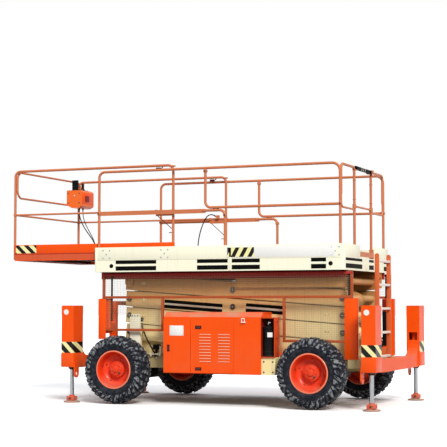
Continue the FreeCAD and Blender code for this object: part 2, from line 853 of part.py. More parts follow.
def ram_points(level):
    foot = along_inner(level, ram_foot_along, ram_foot_rise)
    eye = along_inner(level + 1, ram_eye_along, ram_eye_rise)
    return Vector(foot[0], 0, foot[1]), Vector(eye[0], 0, eye[1])


def make_rams():
    for level, name in ((0, "lower"), (2, "upper")):
        foot, eye = ram_points(level)
        run = (eye - foot)
        length = run.Length
        run = run.normalize()
        barrel_start = foot + run * ram_neck
        barrel_end = foot + run * (length - ram_nose)
        foot_eye = rod_y(ram_eye_radius, -ram_eye_width / 2, ram_eye_width / 2, foot.x, foot.z)
        shell = bar(barrel_radius, barrel_start, barrel_end)
        foot_pin = rod_y(ram_pin_radius, -ram_eye_width / 2 - ear_thick - 6, ram_eye_width / 2 + ear_thick + 6,
                         foot.x, foot.z)
        neck = bar(ram_eye_width / 2 - 2, foot + run * 20, barrel_start + run * 5)
        barrel = join([foot_eye, neck, shell, foot_pin])
        barrel = barrel.cut(bar(ram_radius + 1, barrel_start + run * 40, barrel_end + run * 5))
        save("ram_barrel_" + name, barrel)
        rod = bar(ram_radius, barrel_start + run * 45, eye - run * 20)
        eye_ring = rod_y(ram_eye_radius, -ram_eye_width / 2, ram_eye_width / 2, eye.x, eye.z)
        rod = join([rod, eye_ring])
        rod = rod.cut(rod_y(ram_pin_radius + 0.5, -ram_eye_width, ram_eye_width, eye.x, eye.z))
        save("ram_rod_" + name, rod)


# Platform

def deck_corner():
    """Rounded far rear corner of the band, from its bottom to its top."""
    x = deck_rear_x - band_corner
    y = deck_half_width - band_corner
    height = band_top_z - band_bottom_z
    place = Vector(x, y, band_bottom_z)
    up = Vector(0, 0, 1)
    outside = Part.makeCylinder(band_corner, height, place, up, 90)
    return outside.cut(Part.makeCylinder(band_corner - band_thick, height, place, up, 90))


def make_platform_deck():
    """Deck of welded sheets: band, end plates, floor and joists, each a piece by itself."""
    wall = deck_half_width - band_thick
    straight_x = deck_rear_x - band_corner
    straight_y = deck_half_width - band_corner
    pieces = []
    for side in (1, -1):
        pieces.append(box(deck_front_x, straight_x, side * wall, side * deck_half_width,
                          band_bottom_z, band_top_z))
        pieces.append(box(deck_front_x + band_thick, straight_x, side * (wall - flange_width), side * wall,
                          band_bottom_z, band_bottom_z + flange_thick))
        pieces.append(box(deck_rear_x - band_thick, deck_rear_x, side * entry_door_y, side * straight_y,
                          floor_top_z, band_top_z))
    pieces += both_sides(deck_corner())
    pieces.append(box(deck_rear_x - band_thick, deck_rear_x, -straight_y, straight_y, band_bottom_z, floor_top_z))
    pieces.append(box(deck_front_x, deck_front_x + band_thick, -wall, wall, band_bottom_z, floor_top_z))
    floor_z = floor_top_z - floor_thick
    inner_corner = band_corner - band_thick - seat_gap
    sheets = [
        box(deck_front_x + band_thick, straight_x, -wall, wall, floor_z, floor_top_z),
        box(straight_x, deck_rear_x - band_thick, -straight_y, straight_y, floor_z, floor_top_z),
    ]
    for side in (1, -1):
        sheets.append(rod_z(inner_corner, floor_z, floor_top_z, straight_x, side * straight_y))
    floor = floor_plate(join(sheets), ext_rear_x + 20, platform_rail_rear_x - 60, ext_half_width - 20, floor_top_z)
    pieces.append(floor)
    for number in range(joist_count):
        x = deck_front_x + 500 + number * (deck_rear_x - deck_front_x - 900) / (joist_count - 1)
        pieces.append(box(x - joist_width / 2, x + joist_width / 2, -wall, wall, joist_bottom_z, floor_z))
    save("platform_deck", Part.makeCompound(pieces))


def make_platform_seats():
    """Front pivot ears and rear tracks under the deck."""
    top_z = front_pin_z(level_count)
    shapes = []
    for side in (1, -1):
        shapes.append(box(front_pin_x - 55, front_pin_x + 55, side * (outer_arm_y - 28),
                          side * track_outer_y, seat_beam_z, joist_bottom_z))
        for y0, y1 in ((outer_arm_y - 28, outer_arm_y - 6),
                       (outer_arm_y + arm_thick + 6, outer_arm_y + arm_thick + 28)):
            ear = join([
                box(front_pin_x - 55, front_pin_x + 55, side * y0, side * y1, top_z, seat_beam_z + 5),
                rod_y(55, side * y0, side * y1, front_pin_x, top_z),
            ])
            ear = ear.cut(rod_y(pin_radius + pin_gap, side * y0 - 40, side * y0 + 80, front_pin_x, top_z))
            shapes.append(ear)
        long_bar = box(deck_front_x + band_thick, deck_rear_x - band_thick, side * track_inner_y,
                       side * track_outer_y, seat_beam_z, joist_bottom_z)
        track = box(track_front_x - 60, track_rear_x - 30, side * track_inner_y, side * track_outer_y,
                    top_z + roller_radius + 0.5, seat_beam_z)
        web = box(track_front_x, track_rear_x - 30, side * (track_outer_y - 10), side * track_outer_y,
                  top_z - roller_radius - 12, top_z + roller_radius + 2)
        lip = box(track_front_x, track_rear_x - 30, side * (outer_arm_y + arm_thick + 7), side * track_outer_y,
                  top_z - roller_radius - 12, top_z - roller_radius - 2)
        shapes.append(long_bar)
        shapes.append(track)
        shapes.append(web)
        shapes.append(lip)
    near = [shape for number, shape in enumerate(shapes) if number >= len(shapes) / 2]
    far = [shape for number, shape in enumerate(shapes) if number < len(shapes) / 2]
    save("platform_seats", Part.makeCompound([join(far), join(near)]))


def rail_foot_block(x, y, y_wall, z0, z1):
    """Foot that bolts a post to the band: a block round the post, against the wall."""
    return box(x - rail_foot / 2, x + rail_foot / 2, y - rail_tube_radius - 3, y_wall, z0, z1)


def platform_side_rail():
    """Far side rail: hoop, hanging rear loop, low front hoop with its flat bar, link and feet."""
    y = rail_y
    front = platform_rail_front_x
    rear = platform_rail_rear_x
    foot_z = floor_top_z + 20
    hoop = bent_tube([Vector(front, y, foot_z), Vector(front, y, top_rail_z), Vector(rear, y, top_rail_z),
                      Vector(rear, y, foot_z)], rail_tube_radius, [rail_bend, rear_bend])
    loop = bent_tube([Vector(loop_post_x, y, top_rail_z), Vector(loop_post_x, y, mid_rail_z),
                      Vector(rear, y, mid_rail_z)], rail_tube_radius, rail_bend)
    low_hoop = bent_tube([Vector(loop_post_x - 40, y, front_rail_z), Vector(low_post_x, y, front_rail_z),
                          Vector(low_post_x, y, foot_z)], rail_tube_radius, rail_bend)
    flat = box(front, loop_post_x, y - 8, y + 8, front_rail_z - 30, front_rail_z + 20)
    link = box(low_post_x - 130, low_post_x - 80, y - 8, y + 8, front_rail_z, mid_rail_z)
    feet = []
    for x in (front, low_post_x, rear - 6):
        feet.append(rail_foot_block(x, y, deck_half_width - band_thick, floor_top_z, foot_top_z))
    return join([hoop, loop, low_hoop, flat, link] + feet)


def end_frame_rail(sign):
    """Rear rail beside the entry: a post and a loop with rounded corners."""
    rear = platform_rail_rear_x
    post = sign * entry_post_y
    corner = sign * (rail_y - 2 * rail_tube_radius - seat_gap)
    split_z = end_mid_z + 150
    upper = bent_tube([Vector(rear, post, floor_top_z), Vector(rear, post, rear_rail_z),
                       Vector(rear, corner, rear_rail_z), Vector(rear, corner, split_z)],
                      rail_tube_radius, [post_bend, rail_bend])
    lower = bent_tube([Vector(rear, corner, split_z), Vector(rear, corner, end_mid_z),
                       Vector(rear, post, end_mid_z)], thin_tube_radius, rail_bend)
    foot = box(rear - rail_tube_radius - 3, deck_rear_x - band_thick, post - sign * 22, post + sign * 22,
               floor_top_z, foot_top_z)
    return [upper, lower, foot]


def make_platform_rails():
    rear = platform_rail_rear_x
    side = platform_side_rail()
    save("rails_far", side)
    save("rails_near", flip_y(side))
    ends = []
    for sign in (1, -1):
        extras = []
        if sign > 0:
            for x0 in (rear - 41, rear + 33):
                ear = box(x0, x0 + 8, entry_hinge_y, entry_post_y - 8, rear_rail_z - 22, rear_rail_z + 22)
                ear = join([ear, rod_x(22, x0, x0 + 8, entry_hinge_y, rear_rail_z)])
                extras.append(ear)
            extras.append(box(rear - 41, rear + 41, entry_post_y - 12, entry_post_y + 26,
                              rear_rail_z - 22, rear_rail_z - 6))
        else:
            extras.append(box(rear - 20, rear + 20, -entry_post_y - 12, -entry_hinge_y + 40,
                              rear_rail_z - entry_bar_radius - 8, rear_rail_z - entry_bar_radius - 0.3))
        frame = join(end_frame_rail(sign) + extras)
        if sign > 0:
            frame = frame.cut(rod_x(entry_hinge_radius + pin_gap, rear - 60, rear + 60, entry_hinge_y, rear_rail_z))
        ends.append(frame)
    kick = box(deck_rear_x - band_thick, deck_rear_x - band_thick + 6, -entry_door_y, entry_door_y,
               floor_top_z + 15, floor_top_z + 75)
    ends.append(kick)
    save("rails_rear", Part.makeCompound(ends))


def make_entry_bars():
    """Drop bar hinged at the far post and resting on the near one, and the sliding mid bar."""
    rear = platform_rail_rear_x
    beam = rod_y(entry_bar_radius, -entry_hinge_y + 6, entry_hinge_y, rear, rear_rail_z)
    ring = rod_x(22, rear - 30, rear + 30, entry_hinge_y, rear_rail_z)
    pin = rod_x(entry_hinge_radius, rear - 43, rear + 43, entry_hinge_y, rear_rail_z)
    save("entry_bar", join([beam, ring, pin]))
    bar_z = collar_z + collar_height / 2
    collars = []
    for side in (1, -1):
        y = side * entry_post_y
        collars.append(rod_z(collar_radius, collar_z, collar_z + collar_height, rear, y))
    slider = join([rod_y(thin_tube_radius, -entry_post_y, entry_post_y, rear, bar_z)] + collars)
    for side in (1, -1):
        slider = slider.cut(rod_z(rail_tube_radius + 1, collar_z - 1, collar_z + collar_height + 1,
                                  rear, side * entry_post_y))
    save("entry_mid_bar", slider)


# Extension deck

def cord_routes():
    # route, diameter
    return [(cable_1_route, cable_1_diameter), (cable_2_route, cable_2_diameter), (hose_route, hose_diameter)]


def make_extension():
    """Extension deck of welded sheets: skirt, floor and joists, each a piece by itself."""
    t = ext_band_thick
    wall = ext_half_width - t
    pieces = []
    for side in (1, -1):
        pieces.append(box(ext_front_x, ext_rear_x, side * wall, side * ext_half_width,
                          ext_band_bottom_z, ext_band_top_z))
    pieces.append(box(ext_front_x, ext_front_x + t, -wall, wall, ext_band_bottom_z, ext_band_top_z))
    floor = box(ext_front_x + t, ext_rear_x, -wall, wall, ext_floor_z - floor_thick, ext_floor_z)
    pieces.append(floor_plate(floor, ext_panel_front_x, ext_rear_x - 60, ext_half_width - 82, ext_floor_z))
    for number in range(ext_joist_count):
        x = ext_front_x + 150 + number * (ext_rear_x - ext_front_x - 300) / (ext_joist_count - 1)
        pieces.append(box(x - 20, x + 20, -wall, wall, ext_band_bottom_z + 6, ext_floor_z - floor_thick))
    for route, diameter in cord_routes():
        x, y, z = route[-1]
        pieces.append(rod_z(diameter / 2 + 5, ext_floor_z, z, x, y))
    save("extension_deck", Part.makeCompound(pieces))


def extension_side_rail():
    """Far side rail: hoop with its front post before the skirt, mid rail, straps and bracket."""
    y = ext_rail_y
    wall = ext_half_width - ext_band_thick
    front = ext_rail_front_x
    rear = ext_rail_rear_x
    hoop = bent_tube([Vector(front, y, ext_band_bottom_z + 15), Vector(front, y, ext_rail_z),
                      Vector(rear, y, ext_rail_z), Vector(rear, y, ext_floor_z + 20)],
                     rail_tube_radius, rail_bend)
    middle = rod_x(thin_tube_radius, front, rear, y, ext_mid_z)
    straps = []
    for z in (ext_band_bottom_z + 30, ext_band_top_z - 40):
        straps.append(box(front, ext_front_x, y - 10, y + 10, z, z + 24))
    bracket = box(rear - 230, rear, y - 5, y + 5, ext_mid_z - 60, ext_mid_z)
    foot = rail_foot_block(rear, y, wall, ext_floor_z, foot_top_z)
    return join([hoop, middle, bracket, foot] + straps)


def hose_clip():
    """Clip on the far mid rail, with the short gland that the deck hose leaves from."""
    end = Vector(*hose_route[0])
    into = (Vector(*hose_route[1]) - end).normalize()
    gland = bar(hose_diameter / 2 + 3, end - into * 30, end)
    block_x = end.x + 18
    clip = box(block_x, block_x + 30, end.y - 12, ext_rail_y, ext_mid_z, end.z + 12)
    return [gland, clip]


def make_extension_rails():
    side = extension_side_rail()
    save("extension_rails_far", join([side] + hose_clip()))
    save("extension_rails_near", flip_y(side))
    halves = []
    corner = ext_rail_y - 1
    for sign in (1, -1):
        halves.append(bent_tube([Vector(front_loop_x, 0, front_loop_top_z),
                                 Vector(front_loop_x, sign * corner, front_loop_top_z),
                                 Vector(front_loop_x, sign * corner, front_loop_low_z),
                                 Vector(front_loop_x, 0, front_loop_low_z)],
                                front_loop_radius, front_loop_bend))
    loop = join(halves)
    inner = ext_rail_y - rail_tube_radius - seat_gap
    low = rod_y(thin_tube_radius, -inner, inner, ext_rail_front_x, ext_mid_z)
    save("extension_rails_front", Part.makeCompound([loop, low]))


def make_control_box():
    """Control box with a keel-shaped underside, its hook, plate and lever."""
    x0 = control_x0
    x1 = control_x1
    # x, z
    profile = [(x0, control_z0), (x0 + 75, control_keel_z), (x1 - 55, control_keel_z), (x1, control_z0 - 12),
               (x1, control_z1 - 22), (x1 - 22, control_z1), (x0, control_z1)]
    case = prism_y(profile, control_y0, control_y1)
    middle = (control_y0 + control_y1) / 2
    plate = box(x0, x0 + 82, middle - 20, middle + 5, control_z1 - 1, control_z1 + 150)
    lever = box(x1 - 65, x1 - 37, middle - 60, middle - 32, control_z1 - 1, control_z1 + 105)
    hook_z = front_loop_low_z + front_loop_radius + seat_gap
    hook = box(front_loop_x - front_loop_radius, x0 + 1, middle - 90, middle + 90, hook_z, hook_z + 10)
    glands = []
    for route, diameter in cord_routes()[:2]:
        x, y, z = route[0]
        glands.append(rod_z(diameter / 2 + 4, z, control_keel_z + 2, x, y))
    save("control_box", join([case, plate, lever, hook] + glands))


# Cables

def cord_tube(name, route, diameter):
    """Tube along straight runs joined by arcs, each as large as its two runs allow."""
    points = [Vector(*point) for point in route]
    radii = []
    for before, corner, after in zip(points, points[1:], points[2:]):
        into = corner - before
        out = after - corner
        turn = into.getAngle(out)
        radii.append(0.45 * min(into.Length, out.Length) / math.tan(turn / 2))
    tube = bent_tube(points, diameter / 2, radii)
    print(name, "arc radii", [round(radius) for radius in radii])
    save(name, tube)


def make_cables():
    cord_tube("control_cable_1", cable_1_route, cable_1_diameter)
    cord_tube("control_cable_2", cable_2_route, cable_2_diameter)
    cord_tube("deck_hose", hose_route, hose_diameter)


# Side boxes

def side_box():
    """Far-side box: a tray with ends, back and sloped lip, open outwards for the doors."""
    outer = box_outer_y - door_thick - door_seat_gap
    profile = [(box_inner_y, box_bottom_z), (outer, box_bottom_z), (outer, box_top_z - 5),
               (outer - 60, box_lip_z), (box_inner_y, box_lip_z)]
    shell = prism_x(profile, box_front_x, box_rear_x)
    fixed_panel = box(door_rear_x, box_rear_x, outer - 1, box_outer_y, box_bottom_z, box_top_z - 15)
    w = box_wall
    bays = []
    for x0, x1 in ((box_front_x + w, door_split_x - w), (door_split_x + w, door_rear_x - w)):
        bays.append(box(x0, x1, box_inner_y + w, outer + 1, box_bottom_z + w, box_top_z - 45))
    return join([shell, fixed_panel]).cut(Part.makeCompound(bays))


def canister_bay():
    """Near-side open bay behind the side box, with the cream box under it."""
    x0 = box_rear_x
    x1 = box_rear_x + bay_length
    y0 = -(box_outer_y - 10)
    y1 = -(box_outer_y - 160)
    z0 = box_bottom_z + 200
    z1 = box_bottom_z + 655
    bay = box(x0, x1, y0, y1, z0, z1).cut(box(x0 - 1, x1 - 8, y0 - 1, y1 - 6, z0 + 6, z1 - 6))
    back = box(x0, x1 - 40, -box_inner_y, y1, z0, z0 + 60)
    lower = box(x0, x1, y0 + 15, -box_inner_y, box_bottom_z, z0)
    return join([bay, back]), lower


def door(x0, x1, louvred):
    """A far-side door: a plate on its frame and, if louvred, two columns of slots."""
    outer = box_outer_y
    plate = box(x0 + door_gap / 2, x1 - door_gap / 2, outer - door_thick, outer,
                box_bottom_z + 8, box_top_z - 30)
    if not louvred:
        return plate
    slots = []
    for c0, c1 in ((x0 + 115, x0 + 258), (x1 - 195, x1 - 55)):
        for number in range(louvre_count):
            z = box_bottom_z + 135 + number * louvre_pitch
            slots.append(box(c0, c1, outer - 8, outer + 1, z, z + louvre_height))
    return plate.cut(Part.makeCompound(slots))


def make_side_boxes():
    shell = side_box()
    plain = door(box_front_x, door_split_x, False)
    louvred = door(door_split_x, door_rear_x, True)
    bay, lower = canister_bay()
    save("side_box_far", shell)
    save("side_box_near", join([flip_y(shell), bay]))
    save("corner_box", lower)
    for name, flip in (("far", False), ("near", True)):
        for kind, shape in (("door_plain", plain), ("door_louvred", louvred)):
            save(kind + "_" + name, flip_y(shape) if flip else shape)
    engine = box(door_split_x + 25, door_rear_x - 25, -box_inner_y - 25, -box_outer_y + 90,
                 box_bottom_z + box_wall, box_bottom_z + 500)
    save("engine_block", engine)
    y = -(box_outer_y - 85)
    z = box_bottom_z + 206
    canister = rod_z(canister_radius, z, z + 344, box_rear_x + 75, y)
    neck = rod_z(30, z + 343, z + 369, box_rear_x + 75, y)
    save("canister", join([canister, neck]))


# Guards and end frames

def guard(y0, y1):
    """Far guard: bars round each mesh field and the upright wires of the mesh."""
    b = guard_bar
    shapes = [
        box(guard_front_x, guard_rear_x, y0, y1, guard_top_z - b, guard_top_z),
        box(guard_front_x, guard_rear_x, y0, y1, guard_mid_z - b, guard_mid_z),
    ]
    # x0, x1 and bottom of each lower field
    fields = [(guard_front_x, guard_front_field_x, guard_front_field_z),
              (guard_rear_field_x, guard_rear_x, guard_rear_field_z)]
    for x0, x1, bottom in fields:
        shapes.append(box(x0, x1, y0, y1, bottom, bottom + b))
        for x in (x0, x1 - b):
            shapes.append(box(x, x + b, y0, y1, bottom, guard_mid_z))
    for x in (guard_front_x, guard_rear_x - b):
        shapes.append(box(x, x + b, y0, y1, guard_mid_z - b, guard_top_z))
    middle = (y0 + y1) / 2
    t = guard_wire / 2
    wires = []
    steps = int((guard_rear_x - guard_front_x - 2 * b) / guard_pitch)
    for number in range(1, steps + 1):
        x = guard_front_x + b + number * guard_pitch
        bottom = guard_mid_z - 2
        for x0, x1, low in fields:
            if x0 + b < x - t and x + t < x1 - b:
                bottom = low + b - 2
        wires.append(box(x - t, x + t, middle - t, middle + t, bottom, guard_top_z - b + 2))
    return join(shapes + wires)


def make_guards():
    far = guard(guard_y - guard_bar / 2, guard_y + guard_bar / 2)
    save("guards", Part.makeCompound(both_sides(far)))


def make_end_frames():
    """Columns at the corners of the stack, with the posts and cross bar that carry them."""
    column_top = guard_mid_z - guard_bar - 1
    inset = (frame_width - frame_post) / 2
    x0 = frame_front_x + inset
    x1 = x0 + frame_post
    pieces = []
    for side in (1, -1):
        pieces.append(box(frame_front_x, frame_front_x + frame_width, side * frame_outer_y, side * frame_inner_y,
                          guard_front_field_z - 30, column_top))
        pieces.append(box(x0, x1, side * frame_post_y0, side * frame_post_y1, rail_top_z, frame_bar_z))
        pieces.append(box(x0, x1, side * frame_post_y1, side * frame_inner_y,
                          guard_front_field_z + 35, guard_front_field_z + 95))
        pieces.append(box(frame_rear_x, frame_rear_x + frame_width, side * frame_outer_y, side * frame_inner_y,
                          rail_top_z, column_top))
    pieces.append(box(x0, x1, -frame_post_y1, frame_post_y1, frame_bar_z, frame_bar_z + frame_bar_height))
    save("end_frames", Part.makeCompound(pieces))


def make_ladder():
    half = ladder_width / 2
    pieces = []
    for side in (1, -1):
        pieces.append(box(ladder_x, ladder_x + ladder_depth, side * half, side * (half - ladder_plate),
                          ladder_bottom_z, ladder_top_z))
        pieces.append(box(rear_member_x - 40, ladder_x + 35, side * half, side * (half + ladder_bracket),
                          rail_top_z, rail_top_z + 110))
    for number in range(rung_count):
        z = first_rung_z + number * rung_pitch
        pieces.append(box(ladder_x + 5, ladder_x + ladder_depth - 5, -half + ladder_plate, half - ladder_plate,
                          z - rung_height / 2, z + rung_height / 2))
    save("ladder", Part.makeCompound(pieces))


def main():
    os.makedirs("parts", exist_ok=True)
    make_wheels()
    make_rear_axle()
    make_front_axle()
    make_knuckles()
    make_chassis()
    make_jacks()
    for level in range(level_count):
        make_inner_arms(level)
        make_outer_arms(level)
    make_rollers()
    make_base_seats()
    make_rams()
    make_platform_deck()
    make_platform_seats()
    make_platform_rails()
    make_entry_bars()
    make_extension()
    make_extension_rails()
    make_control_box()
    make_cables()
    make_side_boxes()
    make_guards()
    make_end_frames()
    make_ladder()


main()
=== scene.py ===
import json
import math

import bmesh
import bpy
from mathutils import Matrix, Vector

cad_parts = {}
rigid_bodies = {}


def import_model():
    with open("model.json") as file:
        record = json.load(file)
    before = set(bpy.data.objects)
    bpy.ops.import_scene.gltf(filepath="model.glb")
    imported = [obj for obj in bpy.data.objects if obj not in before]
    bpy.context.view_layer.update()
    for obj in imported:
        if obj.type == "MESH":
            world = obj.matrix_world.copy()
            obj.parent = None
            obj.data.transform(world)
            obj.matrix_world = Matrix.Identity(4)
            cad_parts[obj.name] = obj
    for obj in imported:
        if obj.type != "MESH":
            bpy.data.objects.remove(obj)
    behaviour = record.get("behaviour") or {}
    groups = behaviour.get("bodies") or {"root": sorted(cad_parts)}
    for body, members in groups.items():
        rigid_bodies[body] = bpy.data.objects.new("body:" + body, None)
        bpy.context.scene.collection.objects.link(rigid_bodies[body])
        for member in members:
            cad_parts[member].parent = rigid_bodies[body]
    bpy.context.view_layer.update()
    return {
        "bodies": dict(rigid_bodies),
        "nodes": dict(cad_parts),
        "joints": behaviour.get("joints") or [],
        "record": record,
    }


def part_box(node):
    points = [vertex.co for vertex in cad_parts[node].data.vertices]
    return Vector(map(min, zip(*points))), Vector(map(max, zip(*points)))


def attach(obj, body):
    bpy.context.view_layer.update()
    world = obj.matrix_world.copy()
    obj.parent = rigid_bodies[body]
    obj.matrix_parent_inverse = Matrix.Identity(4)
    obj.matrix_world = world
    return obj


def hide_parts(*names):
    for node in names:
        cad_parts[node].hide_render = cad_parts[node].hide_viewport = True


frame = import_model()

nodes = frame["nodes"]

# lengths are in metres from the middle of the wheelbase, and midX moves them to the part's frame
midX = (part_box("tyre_front_near")[0][0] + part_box("tyre_rear_near")[1][0]) / 2
print("frame loaded, middle of the wheelbase at", round(midX, 4))


# node helpers
def addNode(tree, kind, **settings):
    node = tree.nodes.new(kind)
    for key, value in settings.items():
        setattr(node, key, value)
    return node


def feed(tree, socket, value):
    if value is None:
        return
    if hasattr(value, "is_output"):
        tree.links.new(value, socket)
    else:
        socket.default_value = value


def step(tree, operation, first, second=None, third=None):
    node = addNode(tree, "ShaderNodeMath", operation=operation)
    for socket, value in zip(node.inputs, (first, second, third)):
        feed(tree, socket, value)
    return node.outputs[0]


def blendColor(tree, factor, first, second):
    node = addNode(tree, "ShaderNodeMix", data_type="RGBA")
    feed(tree, node.inputs[0], factor)
    feed(tree, node.inputs[6], first)
    feed(tree, node.inputs[7], second)
    return node.outputs[2]


def noise(tree, place, scale, detail=3, roughness=0.5):
    node = addNode(tree, "ShaderNodeTexNoise")
    feed(tree, node.inputs["Vector"], place)
    node.inputs["Scale"].default_value = scale
    node.inputs["Detail"].default_value = detail
    node.inputs["Roughness"].default_value = roughness
    return node.outputs[0]


def stretched(tree, place, scale):
    node = addNode(tree, "ShaderNodeMapping")
    feed(tree, node.inputs["Vector"], place)
    node.inputs["Scale"].default_value = scale
    return node.outputs[0]


def ramp(tree, value, low, high):
    node = addNode(tree, "ShaderNodeMapRange", interpolation_type="SMOOTHSTEP")
    feed(tree, node.inputs["Value"], value)
    node.inputs["From Min"].default_value = low
    node.inputs["From Max"].default_value = high
    return node.outputs[0]


def newGroup(name, inputs, outputs):
    group = bpy.data.node_groups.new(name, "ShaderNodeTree")
    kinds = {"value": "NodeSocketFloat", "color": "NodeSocketColor"}
    for label, kind, start in inputs:
        socket = group.interface.new_socket(label, in_out="INPUT", socket_type=kinds[kind])
        socket.default_value = start
    for label, kind in outputs:
        group.interface.new_socket(label, in_out="OUTPUT", socket_type=kinds[kind])
    return group, group.nodes.new("NodeGroupInput"), group.nodes.new("NodeGroupOutput")


def useGroup(tree, group, **values):
    node = tree.nodes.new("ShaderNodeGroup")
    node.node_tree = group
    for label, value in values.items():
        feed(tree, node.inputs[label.replace("_", " ")], value)
    return node


# worn paint: slow colour drift, vertical streaks (rainwater stains on paint, painted reflection on chrome), scuffs, and
# dust that thins with height
def makeWeatherGroup():
    group, start, end = newGroup(
        "weatheredPaint",
        [("Base", "color", (0.8, 0.8, 0.8, 1)), ("Dust Color", "color", (0.42, 0.34, 0.24, 1)),
         ("Drift", "value", 0.1), ("Streaks", "value", 0.1), ("Dust", "value", 0.3),
         ("Dust Height", "value", 0.8), ("Top Dust", "value", 0.34), ("Shine", "value", 0.35), ("Scuffs", "value", 0.15)],
        [("Color", "color"), ("Roughness", "value"), ("Height", "value")])
    coordinates = group.nodes.new("ShaderNodeTexCoord")
    place = coordinates.outputs["Object"]
    split = group.nodes.new("ShaderNodeSeparateXYZ")
    feed(group, split.inputs[0], place)
    facing = group.nodes.new("ShaderNodeSeparateXYZ")
    feed(group, facing.inputs[0], coordinates.outputs["Normal"])
    slow = noise(group, place, 1.7, 5, 0.6)
    fine = noise(group, place, 60, 3, 0.6)
    grain = noise(group, place, 420, 2, 0.5)
    rainAndReflectionStreaks = noise(group, stretched(group, place, (34, 34, 1.3)), 1.0, 4, 0.6)
    drift = step(group, "MULTIPLY", step(group, "SUBTRACT", slow, 0.5), start.outputs["Drift"])
    mottle = step(group, "MULTIPLY", step(group, "SUBTRACT", fine, 0.5), step(group, "MULTIPLY", start.outputs["Drift"], 0.5))
    streak = step(group, "MULTIPLY", ramp(group, rainAndReflectionStreaks, 0.52, 0.75), start.outputs["Streaks"])
    level = step(group, "SUBTRACT", step(group, "ADD", step(group, "ADD", drift, mottle), 1.0), streak)
    shade = addNode(group, "ShaderNodeHueSaturation")
    feed(group, shade.inputs["Color"], start.outputs["Base"])
    feed(group, shade.inputs["Value"], level)
    low = step(group, "SUBTRACT", 1.0, step(group, "DIVIDE", split.outputs[2], start.outputs["Dust Height"]))
    low = step(group, "MAXIMUM", low, 0.0)
    patches = ramp(group, noise(group, place, 7, 6, 0.65), 0.35, 0.7)
    dust = step(group, "MULTIPLY", step(group, "MULTIPLY", step(group, "POWER", low, 0.8), patches), start.outputs["Dust"])
    scratch = noise(group, stretched(group, place, (9, 9, 60)), 2.0, 6, 0.7)
    scuff = step(group, "MULTIPLY", ramp(group, scratch, 0.64, 0.72), start.outputs["Scuffs"])
    settled = step(group, "MULTIPLY", step(group, "MULTIPLY", ramp(group, facing.outputs[2], 0.25, 0.95),
                   step(group, "ADD", step(group, "MULTIPLY", patches, 0.6), 0.4)), start.outputs["Top Dust"])
    both = step(group, "MINIMUM", step(group, "ADD", step(group, "ADD", dust, scuff), settled), 1.0)
    feed(group, end.inputs["Color"], blendColor(group, both, shade.outputs[0], start.outputs["Dust Color"]))
    rough = step(group, "ADD", start.outputs["Shine"], step(group, "MULTIPLY", both, 0.5))
    rough = step(group, "ADD", rough, step(group, "MULTIPLY", step(group, "SUBTRACT", fine, 0.5), 0.18))
    feed(group, end.inputs["Roughness"], rough)
    feed(group, end.inputs["Height"], step(group, "ADD", grain, step(group, "MULTIPLY", slow, 2.0)))
    return group


# slanted stripes that run over X, Y and Z by the weights given
def makeStripeGroup():
    group, start, end = newGroup(
        "slantedStripes",
        [("First", "color", (0.85, 0.7, 0.2, 1)), ("Second", "color", (0.02, 0.02, 0.02, 1)),
         ("Along X", "value", 1.0), ("Along Y", "value", 0.0), ("Along Z", "value", 1.0),
         ("Pitch", "value", 0.1), ("Start", "value", 0.0), ("Share", "value", 0.5)],
        [("Color", "color"), ("Mask", "value")])
    place = group.nodes.new("ShaderNodeTexCoord").outputs["Object"]
    split = group.nodes.new("ShaderNodeSeparateXYZ")
    feed(group, split.inputs[0], place)
    total = step(group, "MULTIPLY", split.outputs[0], start.outputs["Along X"])
    total = step(group, "ADD", total, step(group, "MULTIPLY", split.outputs[1], start.outputs["Along Y"]))
    total = step(group, "ADD", total, step(group, "MULTIPLY", split.outputs[2], start.outputs["Along Z"]))
    turns = step(group, "ADD", step(group, "DIVIDE", total, start.outputs["Pitch"]), start.outputs["Start"])
    mask = step(group, "LESS_THAN", step(group, "FRACT", turns), start.outputs["Share"])
    feed(group, end.inputs["Color"], blendColor(group, mask, start.outputs["First"], start.outputs["Second"]))
    feed(group, end.inputs["Mask"], mask)
    return group


# raised bars of tread plate, alternately turned, on level surfaces
def makeTreadGroup():
    group, start, end = newGroup("treadPlate", [("Pitch", "value", 0.05)], [("Height", "value")])
    place = group.nodes.new("ShaderNodeTexCoord").outputs["Object"]
    split = group.nodes.new("ShaderNodeSeparateXYZ")
    feed(group, split.inputs[0], place)
    u = step(group, "DIVIDE", step(group, "ADD", split.outputs[0], split.outputs[1]), start.outputs["Pitch"])
    v = step(group, "DIVIDE", step(group, "SUBTRACT", split.outputs[0], split.outputs[1]), start.outputs["Pitch"])
    odd = step(group, "MODULO", step(group, "ABSOLUTE", step(group, "ADD", step(group, "FLOOR", u), step(group, "FLOOR", v))), 2.0)
    fu = step(group, "ABSOLUTE", step(group, "SUBTRACT", step(group, "FRACT", u), 0.5))
    fv = step(group, "ABSOLUTE", step(group, "SUBTRACT", step(group, "FRACT", v), 0.5))
    barU = step(group, "MULTIPLY", step(group, "LESS_THAN", fu, 0.11), step(group, "LESS_THAN", fv, 0.38))
    barV = step(group, "MULTIPLY", step(group, "LESS_THAN", fv, 0.11), step(group, "LESS_THAN", fu, 0.38))
    flip = step(group, "SUBTRACT", 1.0, odd)
    total = step(group, "ADD", step(group, "MULTIPLY", barU, odd), step(group, "MULTIPLY", barV, flip))
    feed(group, end.inputs["Height"], total)
    return group


weather = makeWeatherGroup()
stripes = makeStripeGroup()
tread = makeTreadGroup()


def bump(tree, height, strength, distance):
    node = addNode(tree, "ShaderNodeBump")
    node.inputs["Strength"].default_value = strength
    node.inputs["Distance"].default_value = distance
    feed(tree, node.inputs["Height"], height)
    return node.outputs["Normal"]


